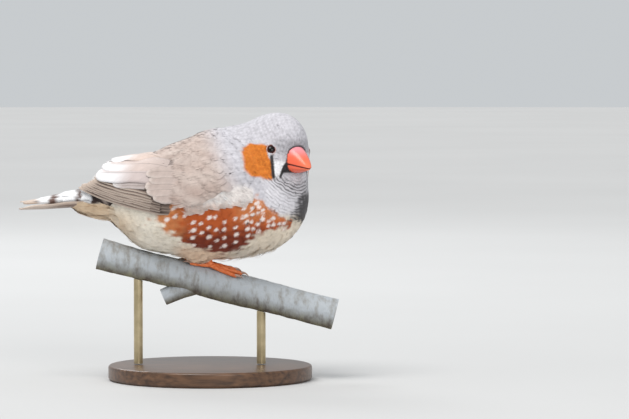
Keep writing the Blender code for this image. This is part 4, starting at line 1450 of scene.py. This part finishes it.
def make_plume(name, side, material):
    """Loose pale feathers that rise from the flank over the lower edge of the wing."""
    draw = np.random.default_rng(60 + side)
    count = PLUME_COUNT
    x = draw.uniform(*PLUME_X, count)
    z = draw.uniform(*PLUME_Z, count) + PLUME_RISE * x
    angle = wing_angle(x, z)
    height = arm_height(x, angle)
    low = height - COVERT_ROOT
    roots = wing_place(x, angle, side, low)
    rise = draw.uniform(0.15, 1.0, count)
    lies = np.stack([np.full(count, -1.0), np.zeros(count), rise], axis=1)
    length = draw.uniform(3.6, 6.2, count)
    wide = draw.uniform(1.2, 2.0, count)
    levels = (low, height + draw.uniform(0.1, 1.0, count))
    tufts = feather_tufts(
        wing_bed, roots, lies, length, wide, PLUME_BARBS, levels, draw, FINE_STOPS,
        0.40, 0.16, 0.8
    )
    # The wisps' tones vary more, and their roots carry deeper painted shade
    build_tufts(f"{name}_plume", tufts, plume_colour, material, draw, None, 0.09, 0.82)


# Tail

# The tail's form: places along it, heights of its middle, half-heights and half-widths
TAIL_X = (-64.0, -55.0, -47.5, -41.0, -36.0, -30.0)
TAIL_MIDDLE = (58.6, 59.4, 60.5, 61.2, 61.2, 61.0)
TAIL_HIGH = (0.35, 1.0, 1.6, 1.9, 3.2, 5.0)
TAIL_WIDE = (2.4, 3.4, 4.0, 4.8, 7.0, 9.0)


def tail_bed(points):
    """The form that the tail's feathers lie round."""
    x, y, z = points.T
    middle, high, wide = [np.interp(x, TAIL_X, row) for row in (TAIL_MIDDLE, TAIL_HIGH, TAIL_WIDE)]
    radii = np.stack([1 + 0 * x, wide, high], axis=1)
    return lump_distance(np.stack([0 * x, y, z - middle], axis=1), 0.0, radii)


# White and pale bands across the tail coverts: where each one ends and starts, and its colour
TAIL_BANDS = (
    (-35.4, -33.4, (0.42, 0.34, 0.30)),
    (-42.6, -39.3, WHITE),
    (-50.8, -44.4, WHITE),
    (-57.3, -53.2, WHITE),
)


def tail_marks(points, waver):
    """Bands across the long upper tail coverts, from the rump to the tip."""
    x = points[:, 0] + 0.4 * waver
    return layered(
        plain(TAIL_DARK, x),
        (TAIL_BUFF, ramp(x, -30.6, -29.0)),
        *[(tone, band(x, low, high, 0.5)) for low, high, tone in TAIL_BANDS],
        (TAIL_BROWN, band(x, -53.2, -50.8, 0.5) * 0.9),
        (TAIL_BROWN, band(x, -44.4, -42.6, 0.5) * 0.6),
        (TAIL_BUFF, ramp(x, -57.3, -58.0)),
    )


# Tiers of upper tail coverts: how many, degrees to each side, where they end, half-width
UPPER_TIERS = (
    (5, 84, -63.4, 1.7),
    (6, 92, -56.5, 1.8),
    (7, 96, -49.5, 1.9),
    (8, 98, -43.5, 2.1),
    (9, 100, -38.5, 2.4),
)
TAIL_FEATHERS = 12


def tail_rows(draw):
    """Kind, degrees round the tail, start, end, level and half-width of each feather."""
    rows = []
    for i in range(TAIL_FEATHERS):
        s = 2 * i / (TAIL_FEATHERS - 1) - 1
        rows.append(("rectrix", 180 + 66 * s, -38.0, -63.7 + s**2, 0.95 + 0.35 * abs(s), 1.9))
    for k, (number, spread, end, half) in enumerate(UPPER_TIERS):
        for i in range(number):
            s = 2 * i / (number - 1) - 1
            reach = end + 1.0 * abs(s) + draw.uniform(-0.4, 0.4)
            rows.append(("upper", spread * s, -29.0, reach, 0.10 + 0.22 * k, half))
    return rows


def make_tail(material, soft_material):
    """The tail feathers, the tiers of coverts over them, and the soft ones below."""
    draw = np.random.default_rng(9)
    store = new_store()
    for kind, turn, start_x, end_x, level, half in tail_rows(draw):
        q = vane_steps()
        x = start_x + (end_x - start_x) * q
        angle = math.radians(turn)
        starts = np.stack([x, 0 * x, np.interp(x, TAIL_X, TAIL_MIDDLE)], axis=1)
        ways = plain((0.0, math.sin(angle), math.cos(angle)), x)
        height = np.full(len(x), level) - 0.5 * (1 - eased(q / 0.3))
        middle = reached(tail_bed, starts, ways, height, 14.0)
        points, faces, q_all, s_all = vane_surface(middle, half, 0.72, tail_bed, height, draw)
        waver = ripple(points, 1.6, 31) + draw.uniform(-0.4, 0.4)
        if kind == "upper":
            colours = tail_marks(points, waver)
        else:
            colours = mixed(plain(TAIL_BROWN, q_all), TAIL_BUFF, ramp(np.abs(s_all), 0.1, 0.4))
            colours = mixed(colours, (0.72, 0.60, 0.52), ramp(q_all, 0.3, 0.8) * 0.8)
        add_vane(store, points, faces, colours * draw.uniform(0.92, 1.05), q_all, s_all)
    store_object("tail_vanes", store, material, "tail_brown", "tail")
    make_undertail(soft_material)


def rear_form(points):
    """The form of body and tail together."""
    return joined(coat_form(points), tail_bed(points), 3.0)


UNDERTAIL_COUNT = 150
UNDERTAIL_BARBS = 13
UNDERTAIL_X = (-43.5, -27.0)
# Degrees to each side of straight down, and how deep the roots are
UNDERTAIL_TURN = 78
UNDERTAIL_ROOT = -0.9


def undertail_colour(points):
    """Cream at the vent, yellower to the rear."""
    base = mixed(plain(CREAM, points), UNDERTAIL, ramp(points[:, 0], -24.0, -36.0) * 0.8)
    return base * (1 + 0.05 * ripple(points, 2.0, 72))[:, None]


def make_undertail(material):
    """Soft long feathers from the vent along the underside of the tail."""
    draw = np.random.default_rng(71)
    count = UNDERTAIL_COUNT
    x = draw.uniform(*UNDERTAIL_X, count)
    turn = np.radians(180 + draw.uniform(-UNDERTAIL_TURN, UNDERTAIL_TURN, count))
    middle_z = np.interp(x, (-44.0, -27.0), (58.6, 60.4))
    starts = np.stack([x, np.zeros(count), middle_z], axis=1)
    ways = np.stack([np.zeros(count), np.sin(turn), np.cos(turn)], axis=1)
    low = np.full(count, UNDERTAIL_ROOT)
    roots = reached(rear_form, starts, ways, low, 14.0)
    lies = plain((-1.0, 0.0, 0.02), x) + draw.normal(0, 0.04, (count, 3))
    length = draw.uniform(7.0, 9.5, count)
    levels = (low, draw.uniform(0.1, 0.6, count))
    wide = draw.uniform(2.6, 3.4, count)
    tufts = feather_tufts(
        rear_form, roots, lies, length, wide, UNDERTAIL_BARBS, levels, draw, COARSE_STOPS,
        0.2, 0.06
    )
    build_tufts("coat_undertail", tufts, undertail_colour, material, draw)


# Bill


BILL_RINGS = 60
BILL_SIDES = 72
# The lower half ends this much before the upper one
BILL_SHORTER = 0.5


def bill_rings(half, rings, sides):
    """Rings from root to tip of the upper half for half = 1, of the lower for half = -1."""
    found = []
    tip_x = BILL_TIP - (BILL_SHORTER if half < 0 else 0.0)
    for t in 1 - (1 - np.linspace(0, 1, rings)) ** 1.3:
        depth = (BILL_UPPER_DEPTH if half > 0 else BILL_LOWER_DEPTH) * (1 - t**1.35) ** 0.85 + 0.25
        width = BILL_HALF_WIDTH * (1 - t) ** 0.62 + 0.22
        forward = BILL_ROOT + (tip_x - BILL_ROOT) * t
        line = BILL_LINE - BILL_DROOP * t * t
        turns = np.linspace(0, math.pi, sides)
        across = width * np.cos(turns)
        height = depth * np.sin(turns) ** (0.85 if half > 0 else 0.55) + 0.08
        found.append(from_head([(forward, a, line + half * h) for a, h in zip(across, height)]))
    return found


BILL_CORAL = (0.88, 0.145, 0.072)
# Pink along the top of the bill: partly the horn's own pink, partly a painted highlight
BILL_PINK_AND_HIGHLIGHT = (0.80, 0.36, 0.46)
BILL_DARK = (0.16, 0.022, 0.018)
BILL_ORANGE = (0.86, 0.22, 0.10)
# Forward and up from the head's middle, the same on both sides
NOSTRIL_PLACE = (8.4, -1.6)


def bill_material():
    """Horn with its own colours, finely mottled."""
    material, tree, shader = new_material("bill_horn", 0.27)
    noise = noise_at(tree, object_place(tree), 450.0, 4.0)
    mottled = moved_range(tree, noise, (0.0, 1.0), (0.86, 1.12))
    add_colour(tree, shader, own_colour(tree)["Color"], mottled)
    add_relief(tree, shader, noise, 0.3, 0.00006)
    return material


def bill_colour(points):
    """Coral red, pinker along the top, partly as a painted highlight, dark along the mouth, with two
    nostrils.
    """
    forward, left, up = to_head(points).T
    t = np.clip((forward - BILL_ROOT) / (BILL_TIP - BILL_ROOT), 0, 1)
    line = BILL_LINE - BILL_DROOP * t * t
    away = np.hypot((forward - NOSTRIL_PLACE[0]) / 1.4, up - NOSTRIL_PLACE[1])
    return layered(
        plain(BILL_CORAL, points),
        # Pinker towards the top: partly the horn's pink, partly a painted highlight
        (BILL_PINK_AND_HIGHLIGHT, ramp(up - line, 2.2, 6.0) * 0.75),
        (BILL_ORANGE, ramp(t, 0.6, 1.0) * 0.6),
        (BILL_DARK, ramp(np.abs(up - line), 0.32, 0.12)),
        (BILL_DARK, ramp(away, 0.45, 0.28) * (np.abs(left) > 1.0)),
    )


def make_bill():
    """Both halves of the bill."""
    material = bill_material()
    for name, half in (("bill_upper", 1), ("bill_lower", -1)):
        points, faces = lofted(bill_rings(half, BILL_RINGS, BILL_SIDES))
        bill = mesh_object(f"{name}_horn", points, faces, material, bill_colour(points))
        face_outward(bill)
        place_piece(bill, "bill_red", name)


# Eyes and lids


EYE_BROWN = (0.050, 0.007, 0.004)
PUPIL_BLACK = (0.002, 0.001, 0.001)
EYE_RIM = (0.01, 0.004, 0.003)
LID_TONES = ((0.34, 0.20, 0.18), (0.68, 0.50, 0.47))
LID_THICK = 0.115
LID_REACH = 1.60


def lid_rings(centre, way):
    """Rings of the lids, a wrinkled loop round the eye, a little taller than long."""
    across = unit(np.cross(way, (0.0, 0.0, 1.0)))
    third = np.cross(way, across)
    around = np.arange(14) * 2 * math.pi / 14
    rings = []
    for turn in np.arange(72) * 2 * math.pi / 72:
        out = across * math.cos(turn) + third * math.sin(turn)
        wave = 1 + 0.10 * math.sin(turn * 18) + 0.05 * math.sin(turn * 31)
        thick = LID_THICK * wave
        reach = LID_REACH - 0.10 * math.cos(2 * turn)
        rise = math.sqrt((EYE_RADIUS + 0.12) ** 2 - reach**2)
        middle = centre + way * rise + out * reach
        ring = np.outer(np.cos(around) * 1.1, out) + np.outer(np.sin(around), way)
        rings.append(middle + thick * ring)
    return rings


def make_eyes():
    """Two dark glossy balls, each with its ring of lids."""
    dark, tree, shader = new_material("eye_iris", 0.05, 0.28)
    tree.links.new(own_colour(tree)["Color"], shader.inputs["Base Color"])
    lid_skin = noisy_material("lid_skin", *LID_TONES, 0.6, 1500.0, 0.00008)
    for (centre, way), name in zip(EYES, ("eye_right", "eye_left")):

        def ball_form(points):
            return np.linalg.norm(points - centre, axis=1) - EYE_RADIUS

        points, faces = ball_mesh(ball_form, centre, 0.0, EYE_RADIUS * 2, 40, 48, way)
        tilt = np.degrees(np.arccos(np.clip(unit(points - centre) @ way, -1, 1)))
        colours = mixed(plain(EYE_BROWN, points), PUPIL_BLACK, ramp(tilt, 31, 27))
        colours = mixed(colours, EYE_RIM, ramp(tilt, 52, 60))
        eye = mesh_object(f"{name}_ball", points, faces, dark, colours)
        face_outward(eye)
        place_piece(eye, "eye_dark", name)
        points, faces = lofted(lid_rings(centre, way), capped=False, closed=True)
        lid = mesh_object(f"{name}_lids", points, faces, lid_skin)
        face_outward(lid)
        place_piece(lid, "grey")


# Feet, perch and stand

TARSUS_RADIUS = 1.0
# How far the leg reaches along the body and up from the foot
TARSUS_RISE = (-3.5, 8.0)
TOE_RADIUS = 0.78
CLAW_LENGTH = 3.0
FOOT_TONES = ((0.62, 0.115, 0.025), (0.86, 0.25, 0.075))
CLAW_TONES = ((0.30, 0.16, 0.11), (0.55, 0.36, 0.28))
# Each foot: its node, its side, where it stands along the perch, and its degrees round it
FEET = (("leg_right", -1, -1.2, 30.0), ("leg_left", 1, -3.4, 32.0))
# Each toe: how far it runs along the perch, and degrees that it turns round it
TOES = ((9.2, 14.0), (10.8, -5.0), (8.4, -27.0), (-6.8, 8.0))


def perch_axes():
    """The ways along the perch and up from it."""
    slope = math.radians(PERCH_SLOPE)
    along = np.array((math.cos(slope), 0.0, -math.sin(slope)))
    up = np.array((math.sin(slope), 0.0, math.cos(slope)))
    return along, up


def perch_place(s, turn, radius):
    """Places at a distance along the perch, degrees round it from its top, and a radius."""
    along, up = perch_axes()
    turn = np.radians(turn)
    s, radius = np.asarray(s, float), np.asarray(radius, float)
    sideways = np.array((0.0, 1.0, 0.0))
    out = np.multiply.outer(np.cos(turn), up) + np.multiply.outer(-np.sin(turn), sideways)
    return PERCH_MIDDLE + np.multiply.outer(s, along) + out * radius[..., None]


def tube(path, radii, sides):
    """Rings round a path."""
    path = np.array(path, float)
    along = unit(np.gradient(path, axis=0))
    side = unit(np.cross(along[0], (0.0, 1.0, 0.0)))
    turns = np.arange(sides) * 2 * math.pi / sides
    rings = []
    for point, way, radius in zip(path, along, radii):
        side = unit(side - way * np.dot(side, way))
        up = np.cross(side, way)
        rings.append(point + radius * (np.outer(np.cos(turns), side) + np.outer(np.sin(turns), up)))
    return rings


# How thick the perch's own surface is taken under the toes, and how high a claw arches
PERCH_SKIN = 0.1
CLAW_ARCH = 0.55
CLAW_RADIUS = 0.50


def toe_path(side, s0, turn0, run, turn):
    """The middle line of a toe on the perch, its pads, and the claw after it."""
    q = np.linspace(0, 1, 44)
    pads = 0.07 * np.abs(np.sin(q * 4 * math.pi)) + 0.03 * np.abs(np.sin(q * 17 * math.pi))
    radii = TOE_RADIUS * (1 - 0.24 * q) * (0.96 + pads)
    angle = turn0 + turn * q * (1.6 - 0.6 * q)
    over = PERCH_RADIUS + PERCH_SKIN + radii + 0.35 * (1 - q) ** 2
    toe = perch_place(s0 + run * q, -side * angle, over)
    c = np.linspace(0.0, 1, 16)
    tip = s0 + run + math.copysign(CLAW_LENGTH, run) * c
    arch = CLAW_ARCH * np.sin(c * math.pi * 0.9)
    claw_radii = CLAW_RADIUS * (1 - 0.92 * c**1.3)
    height = PERCH_RADIUS + 0.15 + claw_radii + 0.25 + arch - 0.35 * c
    claw = perch_place(tip - math.copysign(0.5, run), np.full(16, -side * (turn0 + turn)), height)
    return toe, radii, claw, claw_radii


def make_feet():
    """The legs' scaly skin down to the toes, and the claws."""
    skin = noisy_material("foot_skin", *FOOT_TONES, 0.5, 900.0, 0.00010)
    horn = noisy_material("claw_horn", *CLAW_TONES, 0.35, 500.0, 0.00003)
    for name, side, s0, turn0 in FEET:
        foot = perch_place(s0, -side * turn0, PERCH_RADIUS + PERCH_SKIN + TARSUS_RADIUS + 0.15)
        lean = np.array((TARSUS_RISE[0], side * 1.2, TARSUS_RISE[1]))
        q = np.linspace(0, 1, 24)
        path = foot + np.outer(q, lean)
        scutes = 1 + 0.05 * np.abs(np.sin(q * 9 * math.pi))
        radii = TARSUS_RADIUS * np.interp(q, (0, 0.3, 0.8, 1), (1.15, 0.92, 0.92, 1.1)) * scutes
        meshes = [lofted(tube(path, radii, 18))]
        claws = []
        for run, turn in TOES:
            toe, toe_radii, claw, claw_radii = toe_path(side, s0, turn0, run, turn)
            meshes.append(lofted(tube(toe, toe_radii, 16)))
            claws.append(lofted(tube(claw, claw_radii, 12)))
        leg = joined_mesh(f"{name}_skin", meshes, skin)
        place_piece(leg, "leg_orange", name)
        nails = joined_mesh(f"{name}_claws", claws, horn)
        place_piece(nails, "leg_orange")


def joined_mesh(name, meshes, material):
    """One piece from several closed meshes."""
    points, faces, start = [], [], 0
    for p, f in meshes:
        faces += [tuple(i + start for i in face) for face in f]
        points.append(p)
        start += len(p)
    obj = mesh_object(name, np.vstack(points), faces, material)
    face_outward(obj)
    return obj


# The stub of a side twig below the perch
TWIG_PLACE = -4.0
TWIG_SLOPE = 38.0
TWIG_LENGTH = 12.5
TWIG_RADIUS = 2.9
PERCH_SIDES = 120


def perch_swell(s, turn):
    """The uneven radius of the branch."""
    turn = np.radians(turn)
    swell = 0.22 * np.sin(0.13 * s + 1.2) + 0.13 * np.sin(2 * turn + 0.09 * s)
    swell = swell + 0.08 * np.sin(3 * turn - 0.21 * s)
    return PERCH_RADIUS - 0.35 + swell * 0.8


def make_perch():
    """The branch with its twig, and their sawn ends."""
    bark = bark_material()
    turns = np.arange(PERCH_SIDES) * 360 / PERCH_SIDES
    rings = []
    for s in np.linspace(PERCH_BACK, PERCH_FRONT, 160):
        radius = perch_swell(s, turns)
        places = perch_place(np.full(PERCH_SIDES, s), turns, radius)
        rough = 0.06 * ripple(places, 5.0, 51) + 0.03 * ripple(places, 1.3, 52)
        rings.append(perch_place(np.full(PERCH_SIDES, s), turns, radius + rough))
    along, up = perch_axes()
    angle = math.radians(TWIG_SLOPE)
    way = -along * math.cos(angle) - up * math.sin(angle)
    start = perch_place(TWIG_PLACE, 180.0, 1.0)
    q = np.linspace(0, 1, 40)
    path = start + np.outer(q, way) * TWIG_LENGTH
    radii = TWIG_RADIUS * np.interp(q, (0, 0.25, 0.5, 0.75, 1), (1.35, 1.2, 1.05, 1.0, 0.97))
    twig = tube(path, radii, 60)
    perch = joined_mesh("perch_bark", [lofted(rings, False), lofted(twig, False)], bark)
    place_piece(perch, "bark", "perch")
    ends = []
    for ring in (rings[0], rings[-1], twig[-1]):
        centre = ring.mean(axis=0)
        inner = [centre + (ring - centre) * f for f in (1.0, 0.93, 0.6, 0.25)]
        points, faces = lofted(inner, False)
        count = len(ring)
        points = np.vstack([points, [centre]])
        faces += [(3 * count + j, 3 * count + (j + 1) % count, 4 * count) for j in range(count)]
        ends.append((points, faces))
    wood = joined_mesh("perch_cut_ends", ends, cut_wood_material())
    place_piece(wood, "bark")


# The bark's top tones carry painted light; the underside's tones are lichen and painted shade
BARK_TOP_PAINTED_LIGHT = ((0.26, 0.25, 0.23), (0.43, 0.46, 0.49))
BARK_UNDERSIDE_LICHEN_AND_SHADE = ((0.085, 0.060, 0.040), (0.27, 0.25, 0.14))


def bark_material():
    """Pale grey bark with painted light on top, darker and browner underneath as painted shade and
    lichen, with fine cracks.
    """
    material, tree, shader = new_material("perch_bark", 0.85, 0.3)
    lengthwise = {"Rotation": (0.0, math.radians(-PERCH_SLOPE), 0.0), "Scale": (1.0, 0.45, 0.45)}
    grain = add_node(tree, "Mapping", {"Vector": object_place(tree), **lengthwise})["Vector"]
    broad = noise_at(tree, grain, 420.0, 9.0, 0.62)
    top = two_tones(tree, broad, *BARK_TOP_PAINTED_LIGHT, 0.30, 0.52)
    low = two_tones(tree, broad, *BARK_UNDERSIDE_LICHEN_AND_SHADE, 0.35, 0.70)
    # Which way the surface faces picks the tone: painted light on top, painted shade below
    normal = add_node(tree, "NewGeometry", {})["Normal"]
    upward = add_node(tree, "SeparateXYZ", {"Vector": normal})["Z"]
    side = moved_range(tree, upward, (-0.95, -0.10), (0.0, 1.0))
    tree.links.new(blended(tree, side, low, top), shader.inputs["Base Color"])
    add_relief(tree, shader, noise_at(tree, grain, 1500.0, 6.0), 0.8, 0.0004)
    return material


def cut_wood_material():
    """Sawn ends of the branch, faintly mottled."""
    material, tree, shader = new_material("perch_cut_wood", 0.75, 0.3)
    noise = noise_at(tree, object_place(tree), 700.0, 4.0)
    tone = two_tones(tree, noise, (0.38, 0.24, 0.13), (0.66, 0.50, 0.33))
    tree.links.new(tone, shader.inputs["Base Color"])
    return material


# The stand's base, turned from wood
BASE_RADIUS = 34.0
BASE_THICKNESS = 5.0
BASE_ROUNDING = 0.8
WOOD_TONES = ((0.045, 0.022, 0.012), (0.15, 0.075, 0.038))
BRASS_TONES = ((0.42, 0.34, 0.20), (0.58, 0.48, 0.30))


def make_stand():
    """The turned base. The rods keep their own shape and get brass."""
    wood = noisy_material("base_varnish", *WOOD_TONES, 0.32, 90.0, 0.00006, (1.0, 9.0, 9.0), 5.0)
    turns = np.arange(160) * 2 * math.pi / 160
    edge = BASE_ROUNDING
    inner, under = BASE_RADIUS - edge, BASE_THICKNESS - edge
    profile = [(inner, 0.0), (BASE_RADIUS, edge)]
    for angle in np.linspace(0, math.pi / 2, 8):
        profile.append((inner + edge * math.cos(angle), under + edge * math.sin(angle)))
    rings = []
    for radius, z in profile:
        ring = (radius * np.cos(turns), radius * np.sin(turns), np.full(160, z))
        rings.append(np.stack(ring, axis=1))
    base = mesh_object("base_turned", *lofted(rings), wood)
    face_outward(base)
    base.data.set_sharp_from_angle(angle=math.radians(40))
    place_piece(base, "base_wood", "stand_base")
    brass = noisy_material("rod_brass", *BRASS_TONES, 0.30, 300.0, 0.00001)
    brass.node_tree.nodes["Principled BSDF"].inputs["Metallic"].default_value = 1.0
    for node in ("stand_rod_back", "stand_rod_front"):
        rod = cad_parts[node]
        rod.data.materials.clear()
        rod.data.materials.append(brass)


# Floor, light and camera

# What the camera aims at, how far down it looks in degrees, how far off it stands and how
# wide its picture is there
AIM = np.array((34.8, 0.0, 56.8))
CAMERA_TILT = 2.5
CAMERA_AWAY = 1200.0
FRAME_WIDTH = 629 / 3
SKY = 0.62
SUN = 2.1
SUN_WIDTH = 35.0
SUN_WAY = (0.30, 0.45, -1.0)
FLOOR_GREYS = ((0.54, 0.54, 0.54), (0.57, 0.57, 0.57))
# In metres, as are the lamps' places and sizes
FLOOR_RADIUS = 6.0
LAMPS = (
    ("front", (0.35, -0.9, 0.45), 0.5, 2.6, (1.0, 0.99, 0.97)),
    ("rim", (-0.35, 0.8, 0.7), 0.5, 3.0, (0.97, 0.99, 1.0)),
)
LAMP_AIM = (0.0, 0.0, 0.06)


def scene_object(name, data, way):
    """A lamp or camera that looks a way."""
    made = bpy.data.objects.new(name, data)
    bpy.context.scene.collection.objects.link(made)
    made.rotation_euler = Vector(way).to_track_quat("-Z", "Y").to_euler()
    return made


def make_stage():
    """A pale floor, a pale sky, a sun, two lamps and the photo's camera."""
    floor_material = noisy_material("floor_pale", *FLOOR_GREYS, 0.9, 3.0, 0.0)
    bpy.ops.mesh.primitive_circle_add(
        vertices=128, radius=FLOOR_RADIUS, fill_type="NGON", location=(0, 0, 0)
    )
    floor = bpy.context.object
    floor.name = "floor"
    floor.data.materials.append(floor_material)
    world = bpy.context.scene.world or bpy.data.worlds.new("studio")
    bpy.context.scene.world = world
    world.use_nodes = True
    back = world.node_tree.nodes["Background"]
    back.inputs["Color"].default_value = (0.93, 0.97, 1.0, 1)
    back.inputs["Strength"].default_value = SKY
    sun = bpy.data.lights.new("sun", "SUN")
    sun.energy = SUN
    sun.angle = math.radians(SUN_WIDTH)
    sun.color = (1.0, 0.98, 0.95)
    scene_object("sun", sun, SUN_WAY)
    for name, place, size, power, colour in LAMPS:
        data = bpy.data.lights.new(name, "AREA")
        data.shape = "DISK"
        data.size = size
        data.energy = power
        data.color = colour
        lamp = scene_object(name, data, Vector(LAMP_AIM) - Vector(place))
        lamp.location = place
    tilt = math.radians(CAMERA_TILT)
    ahead = np.array((0.0, math.cos(tilt), -math.sin(tilt)))
    data = bpy.data.cameras.new("camera")
    data.lens = data.sensor_width * CAMERA_AWAY / FRAME_WIDTH
    data.clip_start = 0.05
    data.clip_end = 20.0
    camera = scene_object("camera", data, ahead)
    camera.location = Vector((AIM - ahead * CAMERA_AWAY) * MM)
    bpy.context.scene.camera = camera
    bpy.context.scene.view_settings.view_transform = "Standard"


def main():
    soft = plumage_material()
    vanes = vane_material()
    skin_points, skin_faces = make_skin(soft)
    make_coat(skin_points, skin_faces, soft)
    make_wing("wing_right", -1, vanes, soft)
    make_wing("wing_left", 1, vanes, soft)
    make_tail(vanes, soft)
    make_bill()
    make_eyes()
    make_feet()
    make_perch()
    make_stand()
    make_stage()


main()
